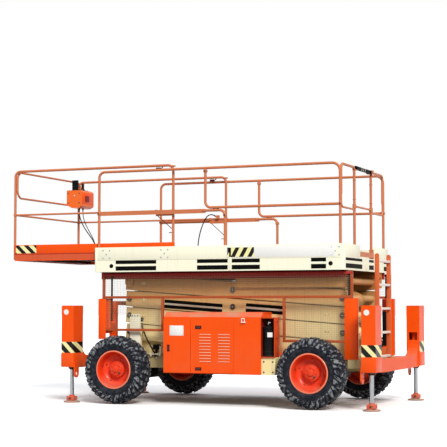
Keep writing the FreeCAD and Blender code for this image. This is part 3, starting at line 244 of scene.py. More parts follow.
def startMaterial(name, metallic=0.0, coat=0.0, specular=0.12):
    material = bpy.data.materials.new(name)
    material.use_nodes = True
    tree = material.node_tree
    shader = tree.nodes["Principled BSDF"]
    shader.inputs["Metallic"].default_value = metallic
    shader.inputs["Coat Weight"].default_value = coat
    shader.inputs["Coat Roughness"].default_value = 0.12
    shader.inputs["Specular IOR Level"].default_value = specular
    return material, tree, shader


def rgb(color):
    return (color[0], color[1], color[2], 1.0)


# name: colour, drift, streaks, dust, dust height, shine, scuffs, metallic, coat
finishes = {
    "orangePaint": ((0.92, 0.088, 0.004), 0.10, 0.06, 0.10, 0.9, 0.34, 0.03, 0.0, 0.05),
    "boxPaint": ((0.92, 0.088, 0.004), 0.10, 0.06, 0.10, 0.9, 0.34, 0.03, 0.0, 0.05),
    "railPaint": ((0.60, 0.186, 0.080), 0.24, 0.12, 0.05, 0.9, 0.40, 0.12, 0.0, 0.03),
    "guardPaint": ((0.42, 0.088, 0.030), 0.24, 0.12, 0.10, 0.9, 0.45, 0.12, 0.0, 0.0),
    # the maroon below is painted shade: the guard top bar and the skirt under the platform, and a painted shadow in the
    # gap under the extension's step
    "maroonShade": ((0.42, 0.036, 0.028), 0.30, 0.20, 0.05, 0.9, 0.45, 0.10, 0.0, 0.0),
    "rimPaint": ((0.78, 0.044, 0.007), 0.14, 0.05, 0.12, 0.9, 0.30, 0.04, 0.0, 0.12),
    # the pinkish red below is a painted highlight on the rims' flange rings
    "rimFlangeHighlight": ((0.92, 0.230, 0.130), 0.14, 0.05, 0.10, 0.9, 0.30, 0.08, 0.0, 0.12),
    # the near-black red below is painted shade, used for the deck undersides
    "underRed": ((0.050, 0.006, 0.004), 0.25, 0.2, 0.0, 0.9, 0.5, 0.10, 0.0, 0.0),
    "creamPaint": ((0.96, 0.95, 0.75), 0.07, 0.07, 0.15, 0.8, 0.38, 0.03, 0.0, 0.05),
    "khakiPaint": ((0.92, 0.77, 0.39), 0.24, 0.20, 0.15, 0.9, 0.45, 0.10, 0.0, 0.0),
    # the darker brown below is painted shade under the deck, used on the upper arms and the platform seats
    "armUnderDeckShade": ((0.62, 0.290, 0.085), 0.30, 0.25, 0.05, 0.9, 0.45, 0.12, 0.0, 0.0),
    "pinBrown": ((0.085, 0.055, 0.030), 0.35, 0.2, 0.15, 0.8, 0.45, 0.15, 0.2, 0.0),
    "blackPaint": ((0.006, 0.006, 0.007), 0.3, 0.1, 0.05, 0.8, 0.4, 0.06, 0.0, 0.0),
    "darkSteel": ((0.055, 0.050, 0.048), 0.3, 0.2, 0.15, 0.8, 0.45, 0.15, 0.6, 0.0),
    "zincSteel": ((0.45, 0.47, 0.48), 0.15, 0.1, 0.2, 0.8, 0.38, 0.1, 0.85, 0.0),
    "meshWire": ((0.42, 0.36, 0.24), 0.15, 0.1, 0.1, 0.8, 0.45, 0.05, 0.2, 0.0),
    # chrome's strong streaks below are painted reflection
    "chrome": ((0.34, 0.35, 0.37), 0.5, 0.55, 0.10, 0.5, 0.16, 0.05, 1.0, 0.0),
    "footPaint": ((0.66, 0.10, 0.055), 0.2, 0.1, 0.4, 0.3, 0.45, 0.2, 0.0, 0.0),
    "lowerOrange": ((0.66, 0.105, 0.040), 0.16, 0.10, 0.10, 0.9, 0.40, 0.06, 0.0, 0.0),
    "panelGrey": ((0.075, 0.095, 0.105), 0.2, 0.1, 0.05, 0.8, 0.5, 0.05, 0.0, 0.0),
    "footPlate": ((0.55, 0.26, 0.20), 0.3, 0.1, 0.6, 0.3, 0.5, 0.4, 0.0, 0.0),
    "ladderPaint": ((0.84, 0.74, 0.66), 0.1, 0.1, 0.15, 0.8, 0.4, 0.06, 0.0, 0.0),
    "decalBlack": ((0.004, 0.004, 0.004), 0.2, 0.05, 0.05, 0.8, 0.45, 0.02, 0.0, 0.0),
    "decalWhite": ((0.86, 0.86, 0.83), 0.06, 0.05, 0.1, 0.8, 0.4, 0.03, 0.0, 0.0),
    "paleLine": ((0.70, 0.64, 0.50), 0.10, 0.05, 0.1, 0.8, 0.4, 0.05, 0.0, 0.0),
    # the pale pink below is a painted highlight on the louvre slats' lit upper faces
    "slatHighlight": ((0.96, 0.48, 0.32), 0.08, 0.05, 0.05, 0.8, 0.34, 0.03, 0.0, 0.0),
    "ladderOrange": ((0.66, 0.135, 0.045), 0.10, 0.06, 0.10, 0.9, 0.34, 0.03, 0.0, 0.05),
    "controlPaint": ((0.88, 0.160, 0.028), 0.10, 0.06, 0.10, 0.9, 0.34, 0.03, 0.0, 0.05),
    "latchDark": ((0.075, 0.004, 0.006), 0.2, 0.0, 0.05, 0.8, 0.4, 0.1, 0.0, 0.03),
    # the near-black red below is painted shade: inside the canister bay and on the far rear column
    "bayShadeRed": ((0.20, 0.012, 0.007), 0.2, 0.1, 0.15, 0.8, 0.45, 0.1, 0.0, 0.0),
    "bayEdge": ((0.62, 0.060, 0.012), 0.2, 0.1, 0.15, 0.8, 0.40, 0.1, 0.0, 0.0),
    "controlGrey": ((0.20, 0.016, 0.010), 0.2, 0.0, 0.05, 0.8, 0.4, 0.1, 0.0, 0.0),
    "controlRed": ((0.42, 0.020, 0.008), 0.2, 0.0, 0.05, 0.8, 0.4, 0.1, 0.0, 0.0),
    "stopRed": ((0.70, 0.010, 0.008), 0.1, 0.0, 0.05, 0.8, 0.3, 0.03, 0.0, 0.2),
    "hoseRubber": ((0.008, 0.008, 0.009), 0.2, 0.0, 0.1, 0.8, 0.5, 0.06, 0.0, 0.0),
    "nylon": ((0.74, 0.72, 0.64), 0.1, 0.05, 0.2, 0.8, 0.5, 0.1, 0.0, 0.0),
}
paint = {}
dull = {"decalBlack": 0.02, "blackPaint": 0.05, "underRed": 0.03, "hoseRubber": 0.05}
# the side boxes' upward faces blend much further toward the pale brown than other paints, so their tops read duller and
# darker
topBlend = {"boxPaint": 0.85}


def makeFinish(name):
    color, drift, streaks, dust, dustHeight, shine, scuffs, metallic, coat = finishes[name]
    material, tree, shader = startMaterial(name, metallic, coat, dull.get(name, 0.12))
    worn = useGroup(tree, weather, Base=rgb(color), Drift=drift, Streaks=streaks, Dust=dust,
                    Dust_Height=dustHeight, Top_Dust=topBlend.get(name, 0.34), Shine=shine, Scuffs=scuffs)
    feed(tree, shader.inputs["Base Color"], worn.outputs["Color"])
    feed(tree, shader.inputs["Roughness"], worn.outputs["Roughness"])
    feed(tree, shader.inputs["Normal"], bump(tree, worn.outputs["Height"], 0.12, 0.0012))
    paint[name] = material


for name in finishes:
    makeFinish(name)


# rubber: bluish black, with light grey flecks that are partly dust and wear and partly painted glints, strong on the
# lugs
def makeRubber(name, flecksAndGlints):
    material, tree, shader = startMaterial(name, 0.0, 0.0, 0.05)
    place = tree.nodes.new("ShaderNodeTexCoord").outputs["Object"]
    worn = useGroup(tree, weather, Base=(0.011, 0.013, 0.020, 1), Dust_Color=(0.12, 0.115, 0.11, 1), Drift=0.5,
                    Streaks=0.0, Dust=0.07, Dust_Height=1.2, Top_Dust=0.15, Shine=0.5, Scuffs=0.04)
    spots = ramp(tree, noise(tree, place, 27, 4, 0.65), 0.44, 0.64)
    feed(tree, shader.inputs["Base Color"],
         blendColor(tree, step(tree, "MULTIPLY", spots, flecksAndGlints), worn.outputs["Color"], (0.36, 0.38, 0.40, 1)))
    feed(tree, shader.inputs["Roughness"], worn.outputs["Roughness"])
    grain = step(tree, "ADD", worn.outputs["Height"], noise(tree, place, 130, 4, 0.7))
    feed(tree, shader.inputs["Normal"], bump(tree, grain, 0.45, 0.002))
    paint[name] = material


# hazard stripes in cream yellow and black; each place has its own slant and pitch
def makeHazard(name, alongX, alongY, alongZ, pitch, begin, share=0.5):
    material, tree, shader = startMaterial(name, 0.0, 0.1)
    band = useGroup(tree, stripes, First=(0.92, 0.86, 0.42, 1), Second=(0.004, 0.004, 0.004, 1),
                    Along_X=alongX, Along_Y=alongY, Along_Z=alongZ, Pitch=pitch, Start=begin, Share=share)
    worn = useGroup(tree, weather, Drift=0.1, Streaks=0.05, Dust=0.05, Shine=0.38, Scuffs=0.03)
    feed(tree, worn.inputs["Base"], band.outputs["Color"])
    feed(tree, shader.inputs["Base Color"], worn.outputs["Color"])
    feed(tree, shader.inputs["Roughness"], worn.outputs["Roughness"])
    paint[name] = material


# deck: cream outside its walls, a worn grey tread plate where feet go, and a near-black red underside that is painted
# shade
def makeDeck(name, wall, floorZ, halfWidth, ends):
    material, tree, shader = startMaterial(name, 0.0, 0.0, 0.03)
    place = tree.nodes.new("ShaderNodeTexCoord").outputs["Object"]
    split = tree.nodes.new("ShaderNodeSeparateXYZ")
    feed(tree, split.inputs[0], place)
    inside = step(tree, "LESS_THAN", step(tree, "ABSOLUTE", split.outputs[1]), halfWidth)
    nearFloor = step(tree, "COMPARE", split.outputs[2], floorZ, 0.004)
    under = step(tree, "LESS_THAN", split.outputs[2], floorZ - 0.004)
    fromMiddle = step(tree, "ABSOLUTE", step(tree, "SUBTRACT", split.outputs[0], midX + (ends[0] + ends[1]) / 2))
    inside = step(tree, "MULTIPLY", inside, step(tree, "LESS_THAN", fromMiddle, (ends[1] - ends[0]) / 2))
    isFloor = step(tree, "MULTIPLY", inside, nearFloor)
    underShadeMask = step(tree, "MULTIPLY", inside, under)
    worn = useGroup(tree, weather, Base=rgb(finishes[wall][0]), Drift=0.08, Streaks=0.07, Dust=0.2, Shine=0.38, Scuffs=0.04)
    plate = useGroup(tree, weather, Base=(0.20, 0.20, 0.19, 1), Drift=0.3, Streaks=0.0, Dust=0.3, Shine=0.55, Scuffs=0.25)
    # the underside colour is painted shade beneath the deck
    dark = useGroup(tree, weather, Base=rgb(finishes["underRed"][0]), Drift=0.3, Streaks=0.1, Dust=0.0, Shine=0.5, Scuffs=0.1)
    color = blendColor(tree, isFloor, worn.outputs["Color"], plate.outputs["Color"])
    color = blendColor(tree, underShadeMask, color, dark.outputs["Color"])
    feed(tree, shader.inputs["Base Color"], color)
    feed(tree, shader.inputs["Roughness"], worn.outputs["Roughness"])
    bars = useGroup(tree, tread, Pitch=0.055)
    height = step(tree, "MULTIPLY", bars.outputs["Height"], isFloor)
    feed(tree, shader.inputs["Normal"], bump(tree, height, 0.8, 0.003))
    feed(tree, shader.inputs["Metallic"], step(tree, "MULTIPLY", isFloor, 0.25))
    paint[name] = material


# chassis: khaki rails, orange end beams
def makeChassisPaint():
    material, tree, shader = startMaterial("chassisPaint", 0.0, 0.1)
    place = tree.nodes.new("ShaderNodeTexCoord").outputs["Object"]
    split = tree.nodes.new("ShaderNodeSeparateXYZ")
    feed(tree, split.inputs[0], place)
    out = step(tree, "ABSOLUTE", step(tree, "SUBTRACT", split.outputs[0], midX))
    isEnd = step(tree, "GREATER_THAN", out, 1.80)
    rail = useGroup(tree, weather, Base=(0.58, 0.50, 0.25, 1), Drift=0.3, Streaks=0.2, Dust=0.2, Shine=0.5, Scuffs=0.10)
    beam = useGroup(tree, weather, Base=rgb(finishes["orangePaint"][0]), Drift=0.12, Streaks=0.08, Dust=0.12, Shine=0.36, Scuffs=0.05)
    feed(tree, shader.inputs["Base Color"], blendColor(tree, isEnd, rail.outputs["Color"], beam.outputs["Color"]))
    feed(tree, shader.inputs["Roughness"], rail.outputs["Roughness"])
    feed(tree, shader.inputs["Normal"], bump(tree, rail.outputs["Height"], 0.15, 0.0015))
    paint["chassisPaint"] = material


# arms: khaki yellow lower down, blended to a darker brown near the platform as painted shade under the deck
def makeArmPaint():
    material, tree, shader = startMaterial("armPaint", 0.0, 0.05)
    place = tree.nodes.new("ShaderNodeTexCoord").outputs["Object"]
    split = tree.nodes.new("ShaderNodeSeparateXYZ")
    feed(tree, split.inputs[0], place)
    # the blend towards the darker brown with height is painted shade under the platform
    high = ramp(tree, split.outputs[2], 0.90, 1.42)
    shade = blendColor(tree, high, rgb(finishes["khakiPaint"][0]), rgb(finishes["armUnderDeckShade"][0]))
    worn = useGroup(tree, weather, Drift=0.26, Streaks=0.18, Dust=0.08, Dust_Height=0.9, Shine=0.45, Scuffs=0.10)
    feed(tree, worn.inputs["Base"], shade)
    feed(tree, shader.inputs["Base Color"], worn.outputs["Color"])
    feed(tree, shader.inputs["Roughness"], worn.outputs["Roughness"])
    feed(tree, shader.inputs["Normal"], bump(tree, worn.outputs["Height"], 0.15, 0.0015))
    paint["armPaint"] = material


makeArmPaint()
makeRubber("tyreRubber", 0.06)
makeRubber("tyreLug", 0.72)
makeDeck("creamDeck", "creamPaint", 1.735, 0.903, (-1.570, 1.5785))
makeDeck("orangeDeck", "orangePaint", 1.790, 0.846, (-2.7425, -0.552))
makeChassisPaint()
makeHazard("hazardJack", 1.0, 0.5, 1.0, 0.146, 0.043, 0.55)
makeHazard("hazardDeck", 1.0, 0.0, 1.10, 0.135, 0.918)
makeHazard("hazardPanel", -1.0, 0.0, 0.55, 0.105, 0.0)
print("materials made:", len(paint))


# bmesh helpers
def newPiece():
    return bmesh.new()


def facesOf(verts):
    return list({face for vert in verts for face in vert.link_faces})


def paintFaces(verts, index):
    for face in facesOf(verts):
        face.material_index = index


def addBox(mesh, x, y, z, edge=0.0, finish=0, segments=2):
    centre = Vector(((x[0] + x[1]) / 2, (y[0] + y[1]) / 2, (z[0] + z[1]) / 2))
    size = Matrix.Diagonal((abs(x[1] - x[0]), abs(y[1] - y[0]), abs(z[1] - z[0]), 1))
    verts = bmesh.ops.create_cube(mesh, size=1, matrix=Matrix.Translation(centre) @ size)["verts"]
    paintFaces(verts, finish)
    if edge:
        edges = list({link for vert in verts for link in vert.link_edges})
        made = bmesh.ops.bevel(mesh, geom=edges, offset=edge, segments=segments, profile=0.5,
                               affect="EDGES", material=-1)
        verts = list({vert for face in made["faces"] for vert in face.verts})
    return verts


def along(start, end):
    start, end = Vector(start), Vector(end)
    turn = (end - start).to_track_quat("Z", "Y").to_matrix().to_4x4()
    return Matrix.Translation((start + end) / 2) @ turn, (end - start).length


def addRod(mesh, radius, start, end, sides=16, finish=0, top=None):
    matrix, length = along(start, end)
    verts = bmesh.ops.create_cone(mesh, cap_ends=True, segments=sides, radius1=radius,
                                  radius2=radius if top is None else top, depth=length, matrix=matrix)["verts"]
    paintFaces(verts, finish)
    return verts


def addSpun(mesh, profile, start, end, sides=48, finish=0):
    direction = (Vector(end) - Vector(start)).normalized()
    turn = direction.to_track_quat("Z", "Y").to_matrix().to_4x4()
    verts = [mesh.verts.new((radius, 0, height)) for radius, height in profile]
    edges = [mesh.edges.new(pair) for pair in zip(verts, verts[1:])]
    before = set(mesh.verts) - set(verts)
    bmesh.ops.spin(mesh, geom=verts + edges, cent=(0, 0, 0), axis=(0, 0, 1), angle=2 * math.pi,
                   steps=sides, use_merge=True)
    made = [vert for vert in mesh.verts if vert not in before]
    bmesh.ops.transform(mesh, matrix=Matrix.Translation(start) @ turn, verts=made)
    paintFaces(made, finish)
    return made


def addBolt(mesh, place, direction, radius=0.010, finish=0, washer=True):
    place, direction = Vector(place), Vector(direction).normalized()
    if washer:
        addRod(mesh, radius * 1.7, place, place + direction * radius * 0.3, 14, finish)
    head = addRod(mesh, radius, place, place + direction * radius * 1.1, 6, finish)
    edges = [edge for edge in {link for vert in head for link in vert.link_edges}
             if all((vert.co - place).dot(direction) > radius for vert in edge.verts)]
    bmesh.ops.bevel(mesh, geom=edges, offset=radius * 0.2, segments=1, profile=0.5, affect="EDGES", material=-1)


def mirrorSides(mesh):
    copied = bmesh.ops.duplicate(mesh, geom=mesh.verts[:] + mesh.edges[:] + mesh.faces[:])
    verts = [item for item in copied["geom"] if isinstance(item, bmesh.types.BMVert)]
    faces = [item for item in copied["geom"] if isinstance(item, bmesh.types.BMFace)]
    bmesh.ops.scale(mesh, vec=(1, -1, 1), verts=verts)
    bmesh.ops.reverse_faces(mesh, faces=faces)


def finishPiece(mesh, name, body, materials, replaces=(), flat=30, fixNormals=True):
    if fixNormals:
        bmesh.ops.recalc_face_normals(mesh, faces=mesh.faces[:])
    bmesh.ops.translate(mesh, vec=(midX, 0, 0), verts=mesh.verts[:])
    data = bpy.data.meshes.new(name)
    mesh.to_mesh(data)
    mesh.free()
    for material in materials:
        data.materials.append(paint[material])
    data.shade_smooth()
    data.set_sharp_from_angle(angle=math.radians(flat))
    piece = bpy.data.objects.new(name, data)
    bpy.context.scene.collection.objects.link(piece)
    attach(piece, body)
    if replaces:
        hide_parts(*replaces)
    return piece


# small shapes that many pieces share
def addArcStrip(mesh, x, y, radius, thick, z, fromAngle, toAngle, steps=10, finish=0):
    r0, r1 = radius, radius + thick
    verts = [mesh.verts.new((r * math.cos(fromAngle), r * math.sin(fromAngle), h)) for r, h in
             ((r0, z[0]), (r1, z[0]), (r1, z[1]), (r0, z[1]))]
    face = mesh.faces.new(verts)
    before = set(mesh.verts) - set(verts)
    bmesh.ops.spin(mesh, geom=[face] + list(face.edges) + verts, cent=(0, 0, 0), axis=(0, 0, 1),
                   angle=toAngle - fromAngle, steps=steps)
    made = [vert for vert in mesh.verts if vert not in before]
    bmesh.ops.translate(mesh, vec=(x, y, 0), verts=made)
    paintFaces(made, finish)
    return made


def addTurned(mesh, x, y, z, pivot, angle, axis="Y", finish=0, edge=0.0):
    verts = addBox(mesh, x, y, z, edge, finish)
    bmesh.ops.rotate(mesh, cent=pivot, matrix=Matrix.Rotation(angle, 3, axis), verts=verts)
    return verts


def addPipe(mesh, points, radius, sides=10, finish=0):
    curve = bpy.data.curves.new("pipe", "CURVE")
    curve.dimensions = "3D"
    curve.bevel_depth = radius
    curve.bevel_resolution = max(1, sides // 4 - 1)
    curve.use_fill_caps = True
    curve.resolution_u = 8
    line = curve.splines.new("NURBS")
    line.points.add(len(points) - 1)
    for spot, place in zip(line.points, points):
        spot.co = (*place, 1)
    line.order_u = 3
    line.use_endpoint_u = True
    carrier = bpy.data.objects.new("pipe", curve)
    shape = bpy.data.meshes.new_from_object(carrier)
    faces = len(mesh.faces)
    mesh.from_mesh(shape)
    mesh.faces.ensure_lookup_table()
    for face in mesh.faces[faces:]:
        face.material_index = finish
    bpy.data.objects.remove(carrier)
    bpy.data.curves.remove(curve)
    bpy.data.meshes.remove(shape)


# materials on the carried-over nodes, by the start of their names
nodePaint = [
    ("tyre_", "tyreRubber"), ("rim_", "rimPaint"), ("chassis_frame", "chassisPaint"), ("base_seats", "khakiPaint"),
    ("end_frames", "orangePaint"), ("guards", "guardPaint"), ("side_box", "boxPaint"), ("corner_box", "khakiPaint"),
    ("engine_block", "blackPaint"), ("canister", "blackPaint"), ("front_axle", "blackPaint"), ("rear_axle", "blackPaint"),
    ("jack_housings", "orangePaint"), ("ladder", "ladderPaint"), ("knuckle", "blackPaint"), ("jack_leg", "chrome"),
    # the platform seats take the darker brown of painted shade under the deck
    ("arms_", "armPaint"), ("rollers_", "nylon"), ("platform_deck", "creamDeck"), ("platform_seats", "armUnderDeckShade"),
    ("rails_", "railPaint"), ("ram_barrel", "blackPaint"), ("ram_rod", "chrome"), ("entry_bar", "decalBlack"),
    ("entry_mid_bar", "railPaint"), ("extension_deck", "orangeDeck"), ("extension_rails", "railPaint"),
    ("control_box", "controlPaint"), ("door_", "orangePaint"), ("control_cable", "hoseRubber"), ("deck_hose", "hoseRubber"),
]
for name, node in nodes.items():
    for begin, material in nodePaint:
        if name.startswith(begin):
            node.data.materials.clear()
            node.data.materials.append(paint[material])
            break
    else:
        print("no finish for", name)
print("finishes on", len(nodes), "nodes")


# tyres: a spun carcass with chevron lugs that run over the shoulders
tyreSizes = {"radius": 0.410, "halfWidth": 0.150, "lugHeight": 0.021, "lugCount": 17, "lugLong": 0.050, "sweep": 0.066,
             "blockStart": 0.52, "blockLong": 0.030}


def makeLugs(way, phase, first, lugLong):
    s = tyreSizes
    lug = newPiece()
    bmesh.ops.create_cube(lug, size=1, matrix=Matrix.Translation((0, 0.5, 0)))
    across = [edge for edge in lug.edges if abs(edge.verts[0].co.y - edge.verts[1].co.y) > 0.5]
    bmesh.ops.subdivide_edges(lug, edges=across, cuts=7, use_grid_fill=True)
    for vert in lug.verts:
        t = first + (1 - first) * vert.co.y      # 0 at the middle of the tread, 1 at the end on the sidewall
        top = vert.co.z > 0
        width = lugLong * (1.0 + 0.20 * t) * (0.82 if top else 1.10)
        lengthways = vert.co.x * width - s["sweep"] * t ** 1.25
        turn = max(0.0, (t - 0.55) / 0.45) * math.pi / 2      # the lug bends down the shoulder
        outward = -0.008 + 0.124 * min(t / 0.55, 1.0) + 0.033 * math.sin(turn)
        height = s["radius"] - 0.004 - 1.5 * outward * outward - 0.066 * (1 - math.cos(turn))
        if not top:
            outward -= 0.034 * math.sin(turn)
            height -= 0.034 * math.cos(turn) + 0.010 * math.sin(turn)
        vert.co = Vector((lengthways, outward * way, math.sqrt(height * height - lengthways * lengthways)))
    crown = [edge for edge in lug.edges if len(edge.link_faces) == 2 and edge.calc_face_angle() > 0.9
             and all(v.co.length > s["radius"] - 0.030 for v in edge.verts)]
    bmesh.ops.bevel(lug, geom=crown, offset=0.004, segments=1, profile=0.5, affect="EDGES", material=-1)
    bmesh.ops.rotate(lug, cent=(0, 0, 0), verts=lug.verts[:],
                     matrix=Matrix.Rotation(2 * math.pi * phase / s["lugCount"], 3, "Y"))
    bmesh.ops.spin(lug, geom=lug.verts[:] + lug.edges[:] + lug.faces[:], cent=(0, 0, 0), axis=(0, 1, 0),
                   angle=2 * math.pi * (s["lugCount"] - 1) / s["lugCount"], steps=s["lugCount"] - 1, use_duplicate=True)
    for face in lug.faces:
        face.material_index = 1
    data = bpy.data.meshes.new("lugs")
    lug.to_mesh(data)
    lug.free()
    return data


def makeTyre(name, x, side, body):
    s = tyreSizes
    base = s["radius"] - s["lugHeight"]
    profile = [(0.212, -0.104), (0.222, -0.118), (0.238, -0.124), (0.246, -0.131), (0.252, -0.131), (0.262, -0.136),
               (0.285, -0.140), (0.305, -0.139), (0.330, -0.135), (0.352, -0.128), (0.370, -0.118),
               (base - 0.006, -0.100), (base, -0.06)]
    profile += [(radius, -height) for radius, height in reversed(profile)]
    mesh = newPiece()
    addSpun(mesh, profile, (0, 0, 0), (0, 1, 0), 80)
    for way, phase in ((1, 0.0), (-1, 0.5)):
        for first, lugLong, later in ((0.0, s["lugLong"], 0.0), (s["blockStart"], s["blockLong"], 0.5)):
            lugs = makeLugs(way, phase + later, first, lugLong)
            mesh.from_mesh(lugs)
            bpy.data.meshes.remove(lugs)
    if side > 0:
        bmesh.ops.rotate(mesh, cent=(0, 0, 0), matrix=Matrix.Rotation(math.pi, 3, "Z"), verts=mesh.verts[:])
    bmesh.ops.translate(mesh, vec=(x, 0.995 * side, 0.410), verts=mesh.verts[:])
    finishPiece(mesh, name + "Rubber", body, ["tyreRubber", "tyreLug"], [name], 32)


# rims: dished disc, hub and nuts; the flange ring is painted lighter pink as a painted highlight
rimSizes = {"flange": 0.229, "nutCircle": 0.060, "nutCount": 8, "handHoles": 5}


def makeRim(name, x, side, body):
    s = rimSizes
    profile = [(0.032, -0.075), (0.078, -0.072), (0.080, -0.032), (0.150, -0.044), (0.190, -0.016), (0.193, -0.110),
               (0.205, -0.118), (0.214, -0.126), (0.222, -0.127), (0.229, -0.123), (0.229, -0.117), (0.214, -0.110),
               (0.2105, -0.104), (0.2105, 0.104), (0.214, 0.110), (0.229, 0.117), (0.229, 0.123), (0.222, 0.127),
               (0.214, 0.126), (0.206, 0.118), (0.198, 0.100), (0.197, 0.060), (0.191, 0.012), (0.182, 0.002),
               (0.152, -0.022), (0.140, -0.024), (0.104, -0.016), (0.098, -0.008), (0.097, 0.026), (0.092, 0.034),
               (0.078, 0.036), (0.074, 0.040), (0.071, 0.052), (0.060, 0.056), (0.044, 0.057), (0.032, 0.056)]
    mesh = newPiece()
    addSpun(mesh, profile, (0, 0, 0), (0, 1, 0), 72)
    # faces of the flange ring take the painted highlight colour
    for face in mesh.faces:
        spot = face.calc_center_median()
        if math.hypot(spot.x, spot.z) > 0.2135 and abs(spot.y) > 0.110:
            face.material_index = 3
    addSpun(mesh, [(0.0001, 0.0785), (0.024, 0.078), (0.033, 0.074), (0.037, 0.066), (0.038, 0.0565), (0.034, 0.054)],
            (0, 0, 0), (0, 1, 0), 32)
    for number in range(s["nutCount"]):
        turn = 2 * math.pi * number / s["nutCount"]
        spot = Vector((math.cos(turn) * s["nutCircle"], 0.055, math.sin(turn) * s["nutCircle"]))
        addBolt(mesh, spot, (0, 1, 0), 0.0085, 1 if number == 5 else 0)
        ring = Vector((math.cos(turn + 0.2) * 0.128, -0.020, math.sin(turn + 0.2) * 0.128))
        addBolt(mesh, ring, (0, 1, 0), 0.009, 0)
    # black plugs in the hand holes are painted shade for the holes' dark insides
    for number in range(s["handHoles"]):
        turn = 2 * math.pi * number / s["handHoles"]
        spot = Vector((math.sin(turn) * 0.168, -0.020, math.cos(turn) * 0.168))
        addRod(mesh, 0.0080, spot, spot + Vector((0, 0.014, 0)), 14, 2)
    addRod(mesh, 0.004, (0.186, 0.02, 0.04), (0.180, 0.06, 0.036), 8, 2)
    if side < 0:
        bmesh.ops.rotate(mesh, cent=(0, 0, 0), matrix=Matrix.Rotation(math.pi, 3, "Z"), verts=mesh.verts[:])
    bmesh.ops.translate(mesh, vec=(x, 0.995 * side, 0.410), verts=mesh.verts[:])
    finishPiece(mesh, name + "Disc", body, ["rimPaint", "darkSteel", "blackPaint", "rimFlangeHighlight"], [name])


for end, x in (("front", -1.230), ("rear", 1.230)):
    for across, side in (("near", -1), ("far", 1)):
        body = "wheel_%s_%s" % (end, across)
        makeTyre("tyre_%s_%s" % (end, across), x, side, body)
        makeRim("rim_%s_%s" % (end, across), x, side, body)
print("wheels made")


# guards: square bars round welded wire
guardSizes = {"y": 0.800, "bar": 0.030, "pitch": 0.021, "wire": 0.0015, "front": -1.540, "rear": 1.660,
              "top": 1.565, "middle": 1.290}


def makeGuards():
    s = guardSizes
    b = s["bar"]
    y = (s["y"] - b / 2, s["y"] + b / 2)
    mesh = newPiece()
    # the top bar is maroon, painted shade under the platform
    addBox(mesh, (s["front"], s["rear"]), y, (s["top"] - b, s["top"]), 0.003, 2)
    addBox(mesh, (s["front"], s["rear"]), y, (s["middle"] - b, s["middle"]), 0.003)
    fields = [(s["front"], -0.715, 0.865), (0.810, s["rear"], 0.750)]
    for x0, x1, bottom in fields:
        addBox(mesh, (x0, x1), y, (bottom, bottom + b), 0.003)
        for x in (x0, x1 - b):
            addBox(mesh, (x, x + b), y, (bottom + b, s["middle"] - b), 0.003)
    for x in (s["front"], s["rear"] - b):
        addBox(mesh, (x, x + b), y, (s["middle"], s["top"] - b), 0.003)
    for number in range(14):
        x = s["front"] + 0.14 + number * 0.226
        addBolt(mesh, (x, y[1], s["middle"] - b / 2), (0, 1, 0), 0.0042, 1, False)
    mirrorSides(mesh)
    finishPiece(mesh, "guardBars", "chassis", ["guardPaint", "darkSteel", "maroonShade"], ["guards"])
    # folded plates cover the guards' ends on the end columns
    covers = newPiece()
    for x0, x1, z0, z1 in ((1.562, 1.706, 0.562, 1.256), (-1.590, -1.486, 0.765, 1.256)):
        addBox(covers, (x0, x1), (s["y"] + 0.0165, s["y"] + 0.0200), (z0, z1), 0.001)
        middle = x0 + 0.040
        addBox(covers, (middle, middle + 0.004), (s["y"] + 0.0200, s["y"] + 0.0215), (z0 + 0.004, z1 - 0.004), 0.0005)
    mirrorSides(covers)
    finishPiece(covers, "columnCovers", "chassis", ["orangePaint"])
    wires = newPiece()
    t = s["wire"] / 2
    spans = [(s["front"] + b, s["rear"] - b, s["middle"], s["top"] - b)]
    spans += [(x0 + b, x1 - b, bottom + b, s["middle"] - b) for x0, x1, bottom in fields]
    for x0, x1, z0, z1 in spans:
        count = int((x1 - x0) / s["pitch"])
        for number in range(1, count):
            x = x0 + (x1 - x0) * number / count
            addBox(wires, (x - t, x + t), (s["y"] - 2 * t, s["y"]), (z0 - 0.004, z1 + 0.004))
        count = int((z1 - z0) / s["pitch"])
        for number in range(1, count):
            z = z0 + (z1 - z0) * number / count
            addBox(wires, (x0 - 0.004, x1 + 0.004), (s["y"], s["y"] + 2 * t), (z - t, z + t))
    mirrorSides(wires)
    finishPiece(wires, "guardWires", "chassis", ["meshWire"])


makeGuards()
print("guards made")


# platform band: edge fold, splice strap, bolts, black stripes and blank panels
bandSizes = {"out": 0.923, "front": -1.583, "rear": 1.597, "bottom": 1.581, "top": 1.879, "step": 1.722}


